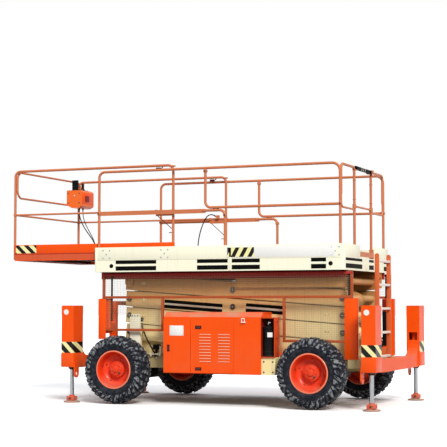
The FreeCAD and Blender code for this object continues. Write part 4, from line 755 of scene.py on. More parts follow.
def makeBand():
    s = bandSizes
    mesh = newPiece()
    out = s["out"]
    addBox(mesh, (s["front"] - 0.002, s["rear"] - 0.040), (out - 0.001, out + 0.003), (s["step"], s["top"] + 0.002), 0.001)
    addArcStrip(mesh, s["rear"] - 0.040, out - 0.040, 0.039, 0.004, (s["step"], s["top"] + 0.002), 0, math.pi / 2, 10)
    for x in (s["front"], 0.185):
        addBox(mesh, (x, x + 0.028), (out + 0.001, out + 0.006), (s["bottom"], s["top"]), 0.0015)
    # bolts in pairs where the rail feet stand behind the band
    for x in (-1.431, -0.652, 1.49):
        for dx, dz in ((-0.045, 0.052), (0.045, 0.052), (-0.045, -0.040), (0.045, -0.040), (0.0, 0.006)):
            addBolt(mesh, (x + dx, out + 0.002, 1.790 + dz), (0, 1, 0), 0.0065, 1)
    mirrorSides(mesh)
    rearX = s["rear"]
    for side in (1, -1):
        y0, y1 = sorted((side * 0.313, side * (out - 0.040)))
        addBox(mesh, (rearX - 0.001, rearX + 0.003), (y0, y1), (s["step"], s["top"] + 0.002), 0.001)
    finishPiece(mesh, "bandPlates", "platform", ["creamPaint", "zincSteel"])
    decals = newPiece()
    rows = [((1.677, 1.720), (-1.303, -0.760)), ((1.597, 1.649), (-1.303, -0.760)),
            ((1.677, 1.720), (-0.225, 0.167)), ((1.597, 1.649), (-0.225, 0.167)),
            ((1.677, 1.720), (0.219, 0.571)), ((1.597, 1.649), (0.219, 0.571)),
            ((1.677, 1.720), (1.198, 1.379)), ((1.597, 1.649), (1.198, 1.379))]
    for z, x in rows:
        addBox(decals, x, (out, out + 0.0012), z)
    for x in (-1.362, 1.433):
        addRod(decals, 0.026, (x, out, 1.654), (x, out + 0.0012, 1.654), 28)
    mirrorSides(decals)
    for z in ((1.692, 1.722), (1.604, 1.657)):
        for y in ((-0.872, -0.226), (0.059, 0.255), (0.700, 0.872)):
            addBox(decals, (rearX, rearX + 0.0012), y, z)
    finishPiece(decals, "bandStripes", "platform", ["decalBlack"])
    # the skirt under the band is maroon, painted shade under the platform
    skirt = newPiece()
    addBox(skirt, (-1.576, 1.588), (0.764, 0.769), (1.497, 1.5805), 0.001)
    addBox(skirt, (-1.576, 1.588), (0.735, 0.769), (1.497, 1.502), 0.001)
    mirrorSides(skirt)
    finishPiece(skirt, "underSkirt", "platform", ["maroonShade"])
    panel = newPiece()
    addBox(panel, (0.154, 1.486), (-out - 0.0052, -out - 0.003), (1.733, 1.862), 0.001)
    finishPiece(panel, "blankPanel", "platform", ["decalWhite"])
    hazard = newPiece()
    addBox(hazard, (0.165, 0.500), (-out - 0.006, -out - 0.0052), (1.742, 1.853))
    finishPiece(hazard, "panelStripes", "platform", ["hazardPanel"])


makeBand()
print("platform band made")


# jacks: lower sleeve, hazard bands, round blank labels, caps, rod glands and foot details
jackSizes = {"front": -1.868, "rear": 1.922, "y": 0.970, "halfX": 0.0825, "halfY": 0.120,
             "bottom": 0.430, "top": 1.170, "sleeveTop": 0.592, "band": (0.602, 0.735)}


def makeJackPlates():
    s = jackSizes
    plates = newPiece()
    bands = newPiece()
    labels = newPiece()
    for end, x in ((-1, s["front"]), (1, s["rear"])):
        for side in (-1, 1):
            y0, y1 = sorted((side * (s["y"] - s["halfY"]), side * (s["y"] + s["halfY"])))
            wide = (x - s["halfX"] - 0.004, x + s["halfX"] + 0.004)
            if side < 0:
                deep = (y0 - 0.004, y1 - 0.001)
            else:
                deep = (y0 + 0.001, y1 + 0.004)
            addBox(plates, (wide[0], wide[1]), deep, (s["bottom"] + 0.001, s["sleeveTop"]), 0.0025)
            addBox(plates, (x - 0.079, x + 0.079), (y0 + 0.004, y1 - 0.004), (s["top"], s["top"] + 0.005), 0.002)
            addRod(plates, 0.046, (x, side * s["y"], 0.408), (x, side * s["y"], 0.432), 28, 1)
            addRod(plates, 0.034, (x, side * s["y"], 0.398), (x, side * s["y"], 0.409), 28, 2)
            thin = 0.0012
            outer = (y0 - thin, y1 - 0.002) if side < 0 else (y0 + 0.002, y1 + thin)
            addBox(bands, (x - s["halfX"] - thin, x + s["halfX"] + thin), outer, s["band"])
            face = side * (s["y"] + s["halfY"])
            addRod(labels, 0.033, (x - 0.02, face, 1.096), (x - 0.02, face + side * 0.0012, 1.096), 32)
    finishPiece(plates, "jackPlates", "chassis", ["orangePaint", "darkSteel", "decalBlack"])
    finishPiece(bands, "jackStripes", "chassis", ["hazardJack"])
    finishPiece(labels, "jackLabels", "chassis", ["decalWhite"])


makeJackPlates()

footSizes = {"pad": 0.100, "padTop": 0.018, "foot": 0.050, "footTop": 0.075, "rod": 0.025, "rodTop": 0.780}


def makeJackLeg(name, x, y):
    s = footSizes
    mesh = newPiece()
    addSpun(mesh, [(0.0001, 0.0), (s["pad"] - 0.006, 0.0), (s["pad"], 0.004), (s["pad"], 0.012), (s["pad"] - 0.008, 0.017),
                   (0.062, 0.018), (0.046, 0.022), (0.044, 0.026), (0.0001, 0.026)], (x, y, 0), (x, y, 1), 48, 1)
    addBox(mesh, (x - s["foot"], x + s["foot"]), (y - s["foot"], y + s["foot"]), (0.025, s["footTop"]), 0.006, 0, 3)
    addRod(mesh, 0.033, (x, y, s["footTop"] - 0.001), (x, y, s["footTop"] + 0.016), 28, 0)
    addRod(mesh, s["rod"], (x, y, s["footTop"]), (x, y, s["rodTop"]), 36, 2)
    for side in (-1, 1):
        addRod(mesh, 0.012, (x, y + side * 0.049, 0.051), (x, y + side * 0.058, 0.051), 16, 3)
        addRod(mesh, 0.0035, (x - 0.008, y + side * 0.057, 0.051), (x + 0.008, y + side * 0.057, 0.051), 8, 3)
    finishPiece(mesh, name + "Detail", name.replace("jack_leg", "jack"), ["footPaint", "footPlate", "chrome", "darkSteel"],
                [name])


for end, x in (("front", jackSizes["front"]), ("rear", jackSizes["rear"])):
    for across, side in (("near", -1), ("far", 1)):
        makeJackLeg("jack_leg_%s_%s" % (end, across), x, side * jackSizes["y"])
print("jacks made")


# extension: upper fold, hazard plates, bolts, and dark straps under the floor
extensionSizes = {"front": -2.757, "rear": -0.550, "out": 0.862, "bottom": 1.7353, "step": 1.823, "top": 1.933}


def makeExtensionTrim():
    s = extensionSizes
    mesh = newPiece()
    addBox(mesh, (s["front"] + 0.001, s["rear"]), (s["out"] - 0.001, s["out"] + 0.003), (s["step"], s["top"] + 0.001), 0.001)
    addBox(mesh, (s["front"] + 0.001, s["rear"]), (s["out"] - 0.001, s["out"] + 0.0015), (s["bottom"], s["bottom"] + 0.010), 0.0005)
    # the thin maroon strip under the step is a painted shadow in the gap
    addBox(mesh, (s["front"] + 0.001, s["rear"]), (s["out"] - 0.001, s["out"] + 0.0012), (s["step"] - 0.011, s["step"] - 0.001), 0.0, 2)
    addBox(mesh, (s["front"] + 0.001, s["rear"]), (s["out"] - 0.001, s["out"] + 0.0010), (s["bottom"] + 0.009, s["step"] - 0.010), 0.0, 3)
    mirrorSides(mesh)
    addBox(mesh, (s["front"] - 0.003, s["front"] + 0.001), (-s["out"] - 0.003, s["out"] + 0.003), (s["step"], s["top"] + 0.001), 0.001)
    for y in (-0.6, -0.2, 0.2, 0.6):
        addBolt(mesh, (s["front"], y, 1.78), (-1, 0, 0), 0.006, 1)
    finishPiece(mesh, "extensionFold", "extension", ["orangePaint", "darkSteel", "maroonShade", "lowerOrange"])
    sign = newPiece()
    addBox(sign, (-2.739, -2.445), (s["out"] + 0.003, s["out"] + 0.0042), (1.829, 1.927))
    mirrorSides(sign)
    finishPiece(sign, "extensionStripes", "extension", ["hazardDeck"])
    lip = newPiece()
    addBox(lip, (-2.20, -0.60), (0.7995, 0.801), (1.7903, 1.796), 0.0005)
    mirrorSides(lip)
    for x in (-2.62, -1.86, -1.13, -0.62):
        addBox(lip, (x - 0.014, x + 0.014), (-0.780, 0.780), (1.7901, 1.7912))
    finishPiece(lip, "floorStraps", "extension", ["darkSteel"])


makeExtensionTrim()
print("extension trim made")


# side boxes: louvre slats, latches, blank plate, pull handle, hinges, seams and bolts
boxSizes = {"front": -0.600, "rear": 0.630, "out": 1.060, "bottom": 0.380, "top": 1.045, "split": -0.248, "doorRear": 0.301,
            "slats": 10, "firstSlat": 0.515, "slatPitch": 0.035, "slatHeight": 0.014}


def makeBoxTrim(side):
    s = boxSizes
    name = "Near" if side < 0 else "Far"
    face = s["out"]
    across = "near" if side < 0 else "far"

    def across_(y0, y1):
        return tuple(sorted((side * y0, side * y1)))

    louvre = newPiece()
    for x0, x1 in ((s["split"] + 0.115, s["split"] + 0.258), (s["doorRear"] - 0.195, s["doorRear"] - 0.055)):
        for number in range(s["slats"]):
            z = s["firstSlat"] + number * s["slatPitch"]
            # each slat is pale pink, a painted highlight along its lit upper face
            addTurned(louvre, (x0 - 0.003, x1 + 0.003), across_(face - 0.006, face + 0.007), (z + 0.0080, z + 0.0100),
                      (0, side * face, z + 0.009), side * math.radians(-38), "X", 0, 0.0006)
            addBox(louvre, (x0, x1), across_(face - 0.0085, face - 0.0075), (z, z + s["slatHeight"]), 0.0, 4)
    for x, z, wide, high in ((s["split"] + 0.099, 0.920, 0.080, 0.042), (s["split"] + 0.099, 0.437, 0.080, 0.038)):
        addBox(louvre, (x - wide / 2, x + wide / 2), across_(face - 0.001, face + 0.003), (z - high / 2, z + high / 2), 0.002, 2)
        addBox(louvre, (x - wide / 3, x + wide / 3), across_(face + 0.003, face + 0.007), (z - 0.007, z + 0.007), 0.002, 3)
    for z in (0.50, 0.92):
        addRod(louvre, 0.0045, (s["doorRear"] - 0.00305, side * face, z - 0.035),
               (s["doorRear"] - 0.00305, side * face, z + 0.035), 12, 4)
    finishPiece(louvre, "louvres" + name, "door_louvred_" + across,
                ["slatHighlight", "bayShadeRed", "latchDark", "darkSteel", "orangePaint"])
    plain = newPiece()
    addBox(plain, (-0.534 - 0.017, -0.534 + 0.017), across_(face - 0.001, face + 0.003), (0.634, 0.716), 0.002, 0)
    addBox(plain, (-0.534 - 0.006, -0.534 + 0.006), across_(face + 0.003, face + 0.007), (0.652, 0.698), 0.002, 1)
    addBox(plain, (-0.517, -0.338), across_(face, face + 0.0015), (0.822, 0.940), 0.0006, 2)
    for x in (-0.508, -0.347):
        for z in (0.831, 0.931):
            addBolt(plain, (x, side * (face + 0.0015), z), (0, side, 0), 0.003, 1, False)
    for z in (0.50, 0.92):
        addRod(plain, 0.0045, (s["split"] - 0.00305, side * face, z - 0.035),
               (s["split"] - 0.00305, side * face, z + 0.035), 12, 3)
    finishPiece(plain, "plainDoorTrim" + name, "door_plain_" + across, ["latchDark", "darkSteel", "decalWhite", "orangePaint"])
    shell = newPiece()
    addRod(shell, 0.005, (0.405, side * (face + 0.018), 0.985), (0.405, side * (face + 0.018), 1.025), 12, 1)
    addRod(shell, 0.005, (0.437, side * (face + 0.018), 0.985), (0.437, side * (face + 0.018), 1.025), 12, 1)
    addRod(shell, 0.005, (0.402, side * (face + 0.018), 1.025), (0.440, side * (face + 0.018), 1.025), 12, 1)
    addBox(shell, (0.394, 0.448), across_(face - 0.026, face + 0.022), (0.976, 0.986), 0.001, 1)
    addBox(shell, (s["front"] - 0.003, s["rear"] + 0.003), across_(0.690, 0.978), (1.0945, 1.098), 0.0012, 0)
    addBox(shell, (s["front"] + 0.02, s["rear"] - 0.02), across_(0.72, 1.03), (0.377, 0.381), 0.0, 3)
    finishPiece(shell, "boxTrim" + name, "chassis", ["boxPaint", "decalWhite", "darkSteel", "blackPaint"])


makeBoxTrim(-1)
makeBoxTrim(1)


# canister bay: straps, blank label, hose stubs, framed edge; corner box with its lid and bolts
def makeCanisterTrim():
    x, y = 0.705, -0.975
    mesh = newPiece()
    for z0, z1 in ((0.586, 0.604), (0.640, 0.648), (0.866, 0.874), (0.914, 0.930)):
        addSpun(mesh, [(0.0655, z0), (0.0685, z0 + 0.001), (0.0685, z1 - 0.001), (0.0655, z1)], (x, y, 0), (x, y, 1), 48, 0)
    addRod(mesh, 0.020, (x, y, 0.950), (x, y, 0.990), 20, 1)
    addRod(mesh, 0.026, (x, y, 0.972), (x, y, 0.984), 6, 1)
    addPipe(mesh, [(x, y, 0.985), (x, y + 0.004, 1.008), (x - 0.012, y + 0.03, 1.018), (x - 0.035, y + 0.07, 1.016),
                   (x - 0.055, y + 0.078, 0.995)], 0.010, 12, 0)
    made = addArcStrip(mesh, x, y, 0.0668, 0.0008, (0.812, 0.868), math.radians(-88), math.radians(-34), 10, 2)
    finishPiece(mesh, "canisterTrim", "chassis", ["blackPaint", "zincSteel", "decalWhite"])
    frame = newPiece()
    t = 0.004
    addBox(frame, (0.630, 0.634), (-1.052, -1.048), (0.580, 1.035), 0.0, 0)
    addBox(frame, (0.792, 0.804), (-1.053, -0.905), (0.580, 1.037), 0.001, 0)
    addBox(frame, (0.632, 0.798), (-1.053, -1.020), (0.576, 0.588), 0.001, 0)
    addBox(frame, (0.632, 0.798), (-1.053, -1.020), (1.027, 1.039), 0.001, 0)
    # the bay's back wall and side wall are near-black red, painted shade inside the recess
    addBox(frame, (0.634, 0.790), (-0.9105, -0.9085), (0.590, 1.025), 0.0, 1)
    addBox(frame, (0.6315, 0.6345), (-1.043, -0.905), (0.590, 1.025), 0.0, 1)
    for z in (0.62, 0.80, 0.99):
        addBolt(frame, (0.804, -0.980, z), (1, 0, 0), 0.006, 2)
    finishPiece(frame, "bayFrame", "chassis", ["bayEdge", "bayShadeRed", "darkSteel"])
    lid = newPiece()
    addBox(lid, (0.628, 0.803), (-1.038, -0.692), (0.560, 0.581), 0.002, 0)
    for bx in (0.66, 0.77):
        for z in (0.41, 0.53):
            addBolt(lid, (bx, -1.035, z), (0, -1, 0), 0.006, 1)
    finishPiece(lid, "cornerBoxLid", "chassis", ["khakiPaint", "darkSteel"])


makeCanisterTrim()
print("side boxes and canister trimmed")


# scissor: greased pin ends on every joint, stripes on the third arms, wear pads
armSizes = {"front": -1.240, "rear": 1.490, "base": 0.660, "rise": 0.200, "levels": 4, "outer": 0.655, "pinOut": 0.6675}


def makeArmTrim():
    s = armSizes
    middle = (s["front"] + s["rear"]) / 2
    slope = math.atan2(s["rise"], s["rear"] - s["front"])
    for level in range(s["levels"]):
        low = s["base"] + level * s["rise"]
        mesh = newPiece()
        spots = [(middle, low + s["rise"] / 2, s["pinOut"])]
        if level:
            spots.append((s["front"], low, s["pinOut"]))
        if level < s["levels"] - 1:
            spots.append((s["rear"], low + s["rise"], s["pinOut"]))
        for x, z, out in spots:
            for side in (-1, 1):
                addRod(mesh, 0.0345, (x, side * out, z), (x, side * (out + 0.0015), z), 28, 0)
                addRod(mesh, 0.0225, (x, side * out, z), (x, side * (out + 0.0040), z), 24, 1)
                addRod(mesh, 0.0060, (x, side * out, z), (x, side * (out + 0.0080), z), 8, 2)
                addBolt(mesh, (x + 0.026, side * (out + 0.0015), z), (0, side, 0), 0.0045, 2, False)
                addBolt(mesh, (x - 0.026, side * (out + 0.0015), z), (0, side, 0), 0.0045, 2, False)
        finishPiece(mesh, "pinEnds%d" % (level + 1), "inner_arms_%d" % (level + 1), ["pinBrown", "darkSteel", "zincSteel"])
    # stripes lie on the outer faces of the third outer arms, turned with them
    z0 = s["base"] + 2.5 * s["rise"]
    for name, rows in (("armStripes", [(-0.900, -0.135, 0.023, -0.017), (-0.900, -0.135, -0.040, -0.080),
                                       (0.165, 0.640, 0.055, 0.017), (0.165, 0.640, -0.008, -0.048)]),
                       ("armLines", [(-0.900, -0.135, -0.017, -0.040), (0.165, 0.640, 0.017, -0.008)])):
        mesh = newPiece()
        for x0, x1, top, bottom in rows:
            for side in (-1, 1):
                y = tuple(sorted((side * s["outer"], side * (s["outer"] + 0.0012))))
                addTurned(mesh, (middle + x0, middle + x1), y, (z0 + bottom, z0 + top), (middle, 0, z0), slope, "Y")
        finishPiece(mesh, name, "outer_arms_3", ["decalBlack" if name == "armStripes" else "paleLine"])
    for level in range(s["levels"]):
        low = s["base"] + level * s["rise"]
        mesh = newPiece()
        for x, z in ((s["front"] + 0.19, low + s["rise"] - 0.014), (s["rear"] - 0.19, low + 0.014)):
            for side in (-1, 1):
                y = tuple(sorted((side * s["outer"], side * (s["outer"] + 0.003))))
                addTurned(mesh, (x - 0.030, x + 0.030), y, (z - 0.012, z + 0.012), (x, 0, z), slope, "Y", 0, 0.001)
                addBolt(mesh, (x - 0.018, side * (s["outer"] + 0.003), z), (0, side, 0), 0.005, 1, False)
                addBolt(mesh, (x + 0.018, side * (s["outer"] + 0.003), z), (0, side, 0), 0.005, 1, False)
        finishPiece(mesh, "armPads%d" % (level + 1), "outer_arms_%d" % (level + 1), ["khakiPaint", "darkSteel"])


# plates that square the front ends of the outer arms
def makeArmEnds():
    s = armSizes
    slope = math.atan2(s["rise"], s["rear"] - s["front"])
    for level in range(s["levels"]):
        z = s["base"] + (level + 1) * s["rise"]
        mesh = newPiece()
        for side in (-1, 1):
            y = tuple(sorted((side * (s["outer"] - 0.010), side * (s["outer"] - 0.0006))))
            addTurned(mesh, (s["front"] - 0.053, s["front"] + 0.150), y, (z - 0.0935, z + 0.0935), (s["front"], 0, z), slope,
                      "Y", 0, 0.001)
        finishPiece(mesh, "armEnds%d" % (level + 1), "outer_arms_%d" % (level + 1), ["armPaint"])


makeArmTrim()
makeArmEnds()
print("scissor trimmed")


# near front: valve column with its pipe, step stirrup; and black strips behind the guards at both ends, painted shade
# in the gaps there
def makeNearFront():
    column = newPiece()
    addBox(column, (-1.196, -1.058), (-0.748, -0.690), (0.600, 1.040), 0.004, 0)
    addBox(column, (-1.185, -1.069), (-0.745, -0.693), (1.040, 1.072), 0.008, 0)
    addBox(column, (-1.165, -1.070), (-0.742, -0.600), (0.500, 0.552), 0.003, 0)
    addBox(column, (-1.165, -1.070), (-0.742, -0.700), (0.550, 0.605), 0.003, 0)
    for x in (-1.165, -1.128, -1.090):
        addRod(column, 0.006, (x, -0.7495, 1.052), (x, -0.7445, 1.052), 12, 2)
    addRod(column, 0.013, (-1.060, -0.720, 1.012), (-1.030, -0.720, 1.012), 16, 3)
    addRod(column, 0.017, (-1.045, -0.720, 0.985), (-1.045, -0.720, 1.030), 16, 3)
    addPipe(column, [(-1.045, -0.720, 0.990), (-1.045, -0.720, 0.930), (-1.022, -0.720, 0.860), (-0.985, -0.718, 0.780),
                     (-0.945, -0.712, 0.710), (-0.915, -0.690, 0.640), (-0.905, -0.640, 0.590), (-0.905, -0.610, 0.545)],
            0.0095, 12, 2)
    addRod(column, 0.015, (-0.905, -0.618, 0.556), (-0.905, -0.600, 0.530), 14, 3)
    finishPiece(column, "valveColumn", "chassis", ["creamPaint", "khakiPaint", "hoseRubber", "zincSteel"])
    step = newPiece()
    addBox(step, (-0.985, -0.826), (-0.652, -0.610), (0.580, 0.594), 0.001, 0)
    addBox(step, (-0.840, -0.826), (-0.652, -0.628), (0.592, 0.682), 0.001, 0)
    for x in (-0.970, -0.850):
        addBox(step, (x, x + 0.016), (-0.646, -0.616), (0.5595, 0.582), 0.001, 0)
    addBox(step, (-0.935, -0.846), (-0.644, -0.606), (0.640, 0.704), 0.004, 1)
    addBox(step, (-0.900, -0.884), (-0.640, -0.612), (0.592, 0.642), 0.001, 1)
    finishPiece(step, "stepStirrup", "chassis", ["creamPaint", "blackPaint"])
    strip = newPiece()
    for side in (-1, 1):
        y = tuple(sorted((side * 0.7835, side * 0.7770)))
        # black strips: painted shade in the gaps behind the guards
        addBox(strip, (-1.438, -1.412), y, (0.985, 1.560), 0.001)
        addBox(strip, (1.590, 1.622), y, (1.262, 1.562), 0.001)
        y = tuple(sorted((side * 0.7770, side * 0.7855)))
        for x in (-1.4335, 1.5980):
            for z in (1.270, 1.540):
                addBox(strip, (x, x + 0.016), y, (z, z + 0.015))
    finishPiece(strip, "gapShadeStrips", "chassis", ["decalBlack"])


makeNearFront()


# ladder: orange hand edges, bright rungs with grip teeth, upper bracket; a black plate and a dark red block on the rear
# frame as painted shade
ladderSizes = {"x": 1.757, "depth": 0.055, "half": 0.2575, "plate": 0.012, "bottom": 0.540, "top": 1.760,
               "first": 0.577, "pitch": 0.281, "rungs": 5}


def makeLadder():
    s = ladderSizes
    mesh = newPiece()
    x = (s["x"], s["x"] + s["depth"])
    for side in (-1, 1):
        y = tuple(sorted((side * s["half"], side * (s["half"] - s["plate"]))))
        addBox(mesh, x, y, (s["bottom"], s["top"]), 0.003, 0)
        addRod(mesh, 0.027, (x[0] + 0.0275, y[0] - 0.0003, s["top"]), (x[0] + 0.0275, y[1] + 0.0003, s["top"]), 24, 0)
        outer = tuple(sorted((side * s["half"], side * (s["half"] + 0.028))))
        addBox(mesh, (1.600, 1.792), outer, (0.560, 0.670), 0.003, 2)
        for z in (0.59, 0.64):
            addBolt(mesh, (1.775, side * (s["half"] + 0.028), z), (0, side, 0), 0.008, 3)
    for number in range(s["rungs"]):
        z = s["first"] + number * s["pitch"]
        inside = s["half"] - s["plate"]
        addBox(mesh, (x[0] + 0.005, x[1] - 0.005), (-inside, inside), (z - 0.014, z + 0.012), 0.002, 1)
        for tooth in range(24):
            y = -inside + 0.012 + tooth * (2 * inside - 0.024) / 23
            for dx in (0.012, 0.038):
                addBox(mesh, (x[0] + dx, x[0] + dx + 0.006), (y - 0.004, y + 0.004), (z + 0.011, z + 0.014), 0.0, 1)
    # a black plate and a dark red block on the far rear column are painted shade where the column lies in shadow
    addBox(mesh, (1.562, 1.612), (0.738, 0.7552), (0.680, 1.098), 0.003, 4)
    addBox(mesh, (1.562, 1.612), (0.732, 0.7552), (1.104, 1.252), 0.003, 5)
    finishPiece(mesh, "ladderDetail", "chassis", ["ladderOrange", "ladderPaint", "ladderOrange", "darkSteel", "blackPaint", "bayShadeRed"],
                ["ladder"])


makeLadder()
print("ladder made")


# rails: clamps, braces, weld rings, foot bolts, chain eyes; top bar sleeves
def makeRailTrim():
    mesh = newPiece()
    y = 0.889
    for x, z in ((-1.549, 2.295), (-0.133, 2.770), (0.120, 2.240), (1.541, 2.335)):
        addBox(mesh, (x - 0.021, x + 0.021), (y - 0.020, y + 0.020), (z - 0.016, z + 0.016), 0.004, 0)
        addBolt(mesh, (x, y + 0.020, z), (0, 1, 0), 0.006, 1)
    for z in (1.775, 1.825):
        addBolt(mesh, (1.535, 0.870, z), (0, -1, 0), 0.006, 1)
    for x, z in ((-0.020, 2.318), (0.030, 2.318)):
        addBolt(mesh, (x, y + 0.008, z), (0, 1, 0), 0.006, 1)
    mirrorSides(mesh)
    for side in (-1, 1):
        for z in (2.420, 2.650):
            addBox(mesh, (1.523, 1.559), tuple(sorted((side * 0.325, side * 0.361))), (z - 0.004, z + 0.004), 0.002, 0)
    finishPiece(mesh, "railClamps", "platform", ["railPaint", "darkSteel"])
    brace = newPiece()
    out = 0.832
    for side in (-1, 1):
        addRod(brace, 0.0045, (-0.792, side * out, 2.262), (-0.585, side * (out - 0.012), 2.085), 8, 0)
        addRod(brace, 0.0045, (-0.640, side * (out - 0.010), 2.050), (-0.582, side * (out - 0.012), 2.052), 8, 0)
        addRod(brace, 0.0045, (-0.792, side * out, 2.300), (-0.792, side * out, 2.252), 8, 1)
    for x, z, wide in ((-0.800, 2.350, 0.03), (-0.578, 2.360, 0.04)):
        for side in (-1, 1):
            addBox(brace, (x - wide / 2, x + wide / 2), tuple(sorted((side * (out - 0.015), side * (out + 0.015)))),
                   (2.300, 2.331), 0.003, 2)
    for side in (-1, 1):
        addBox(brace, (-0.600, -0.556), tuple(sorted((side * (out - 0.019), side * (out + 0.019)))), (2.845, 2.862), 0.003, 2)
        addBox(brace, (-0.806, -0.748), tuple(sorted((side * (out - 0.014), side * (out + 0.014)))), (2.812, 2.842), 0.003, 3)
        addRod(brace, 0.006, (-0.750, side * out, 2.826), (-0.716, side * out, 2.846), 12, 3)
        addBox(brace, (-2.789, -2.753), tuple(sorted((side * (out - 0.018), side * (out + 0.018)))), (2.300, 2.330), 0.003, 2)
    finishPiece(brace, "railBraces", "extension", ["underRed", "darkSteel", "railPaint", "latchDark"])
    drop = newPiece()
    bar = 0.0245
    for y in (-0.100, -0.030, 0.040):
        addRod(drop, bar, (1.541, y - 0.006, 2.801), (1.541, y + 0.006, 2.801), 28)
    finishPiece(drop, "dropBarSleeves", "entry_bar", ["decalWhite"])


makeRailTrim()
print("rail trim made")


# control box: lid, gaskets, blank plates, knobs, black lever with its ball, glands
def makeControls():
    mesh = newPiece()
    x0, x1, y0, y1, z0, z1 = -2.727, -2.499, 0.410, 0.750, 2.526, 2.723
    addBox(mesh, (x1 - 0.002, x1 + 0.003), (y0 + 0.012, y1 - 0.012), (z0 + 0.020, z1 - 0.030), 0.001, 0)
    addBox(mesh, (x0 + 0.006, x1 - 0.030), (y0 + 0.010, y1 - 0.010), (z1 - 0.001, z1 + 0.004), 0.002, 1)
    for x, y in ((x0 + 0.15, 0.47), (x0 + 0.15, 0.65), (x0 + 0.15, 0.70)):
        addRod(mesh, 0.011, (x, y, z1), (x, y, z1 + 0.016), 18, 2)
        addRod(mesh, 0.015, (x, y, z1), (x, y, z1 + 0.005), 18, 3)
    addRod(mesh, 0.018, (x0 + 0.06, 0.70, z1), (x0 + 0.06, 0.70, z1 + 0.020), 24, 5)
    addBox(mesh, (x0 - 0.0015, x0 + 0.0835), (0.5585, 0.5865), (z1 + 0.002, z1 + 0.1515), 0.002, 2)
    addBox(mesh, (x1 - 0.0665, x1 - 0.0355), (0.5185, 0.5495), (z1 + 0.002, z1 + 0.088), 0.006, 2)
    addBox(mesh, (x1 - 0.0675, x1 - 0.0345), (0.5175, 0.5505), (z1 + 0.075, z1 + 0.1065), 0.010, 2, 3)
    addSpun(mesh, [(0.030, 0.0), (0.029, 0.008), (0.024, 0.012), (0.027, 0.018), (0.021, 0.024), (0.018, 0.030), (0.0001, 0.031)],
            (x1 - 0.051, 0.534, z1), (x1 - 0.051, 0.534, z1 + 1), 24, 2)
    for x in (x0 + 0.02, x1 - 0.04):
        for z in (z0 + 0.03, z1 - 0.04):
            addBolt(mesh, (x, y0, z), (0, -1, 0), 0.005, 3)
    addRod(mesh, 0.008, (x0 + 0.118, y0 - 0.004, z0 + 0.125), (x0 + 0.118, y0, z0 + 0.125), 16, 6)
    addBox(mesh, (x1 + 0.003, x1 + 0.012), (0.500, 0.610), (z0 + 0.048, z0 + 0.128), 0.003, 1)
    for x, y, radius in ((-2.600, 0.530, 0.0116), (-2.562, 0.562, 0.0100)):
        addSpun(mesh, [(radius + 0.004, 0.0), (radius + 0.004, 0.007), (radius, 0.008), (radius, 0.018), (0.0001, 0.019)],
                (x, y, 2.4865), (x, y, 2.0), 24, 2)
    finishPiece(mesh, "controlTrim", "extension", ["orangePaint", "controlGrey", "blackPaint", "darkSteel", "controlRed",
                                                   "stopRed", "decalWhite"])


makeControls()


# cords: points of each route, with a tapered relief where it leaves its gland
cordSizes = {
    "control_cable_1": {"diameter": 0.014, "length": 0.751, "route": [
        (-2.600, 0.530, 2.468), (-2.600, 0.530, 2.400), (-2.570, 0.518, 2.327), (-2.527, 0.505, 2.252),
        (-2.470, 0.495, 2.175), (-2.405, 0.485, 2.103), (-2.346, 0.476, 2.028), (-2.312, 0.466, 1.945),
        (-2.304, 0.460, 1.872), (-2.304, 0.460, 1.808)]},
    "control_cable_2": {"diameter": 0.011, "length": 0.721, "route": [
        (-2.562, 0.562, 2.468), (-2.562, 0.562, 2.402), (-2.541, 0.553, 2.332), (-2.505, 0.545, 2.259),
        (-2.458, 0.537, 2.186), (-2.406, 0.527, 2.111), (-2.360, 0.516, 2.031), (-2.332, 0.506, 1.950),
        (-2.320, 0.500, 1.873), (-2.320, 0.500, 1.808)]},
    "deck_hose": {"diameter": 0.014, "length": 0.698, "route": [
        (-0.715, 0.797, 2.350), (-0.751, 0.797, 2.371), (-0.793, 0.797, 2.373), (-0.833, 0.797, 2.353),
        (-0.862, 0.797, 2.313), (-0.891, 0.797, 2.258), (-0.920, 0.797, 2.184), (-0.946, 0.797, 2.098),
        (-0.962, 0.797, 2.000), (-0.970, 0.797, 1.896), (-0.970, 0.797, 1.808)]},
}


def makeCord(name):
    s = cordSizes[name]
    points = [(x + midX, y, z) for x, y, z in s["route"]]
    curve = bpy.data.curves.new(name + "Line", "CURVE")
    curve.dimensions = "3D"
    curve.bevel_depth = s["diameter"] / 2
    curve.bevel_resolution = 4
    curve.resolution_u = 12
    curve.use_fill_caps = True
    line = curve.splines.new("NURBS")
    line.points.add(len(points) - 1)
    for spot, place in zip(line.points, points):
        spot.co = (*place, 1)
    line.order_u = 3
    line.use_endpoint_u = True
    curve.materials.append(paint["hoseRubber"])
    piece = bpy.data.objects.new(name + "Line", curve)
    bpy.context.scene.collection.objects.link(piece)
    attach(piece, "extension")
    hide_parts(name)


for name in cordSizes:
    makeCord(name)


def makeReliefs():
    mesh = newPiece()
    for name, s in cordSizes.items():
        radius = s["diameter"] / 2
        for first, second in ((s["route"][0], s["route"][1]), (s["route"][-1], s["route"][-2])):
            start = Vector(first)
            way = (Vector(second) - start).normalized()
            addSpun(mesh, [(radius, 0.030), (radius + 0.0008, 0.029), (radius + 0.0022, 0.012), (radius + 0.0036, 0.001),
                           (radius + 0.0036, -0.004), (radius, -0.005)], start, start + way, 20, 0)
    finishPiece(mesh, "cordReliefs", "extension", ["blackPaint"])


makeReliefs()
print("controls and cords made")


# stage, light and camera
view = {"place": (6.249, -15.712, 1.165), "turn": 22.53, "tilt": 3.478, "focal": 109.80}
light = {"horizon": 0.12, "zenith": 1.12, "sun": 2.75, "sunTurn": (56.6, 0, 38.4), "floor": (0.36, 0.36, 0.36),
         "floorSeen": (1.22, 1.22, 1.22)}


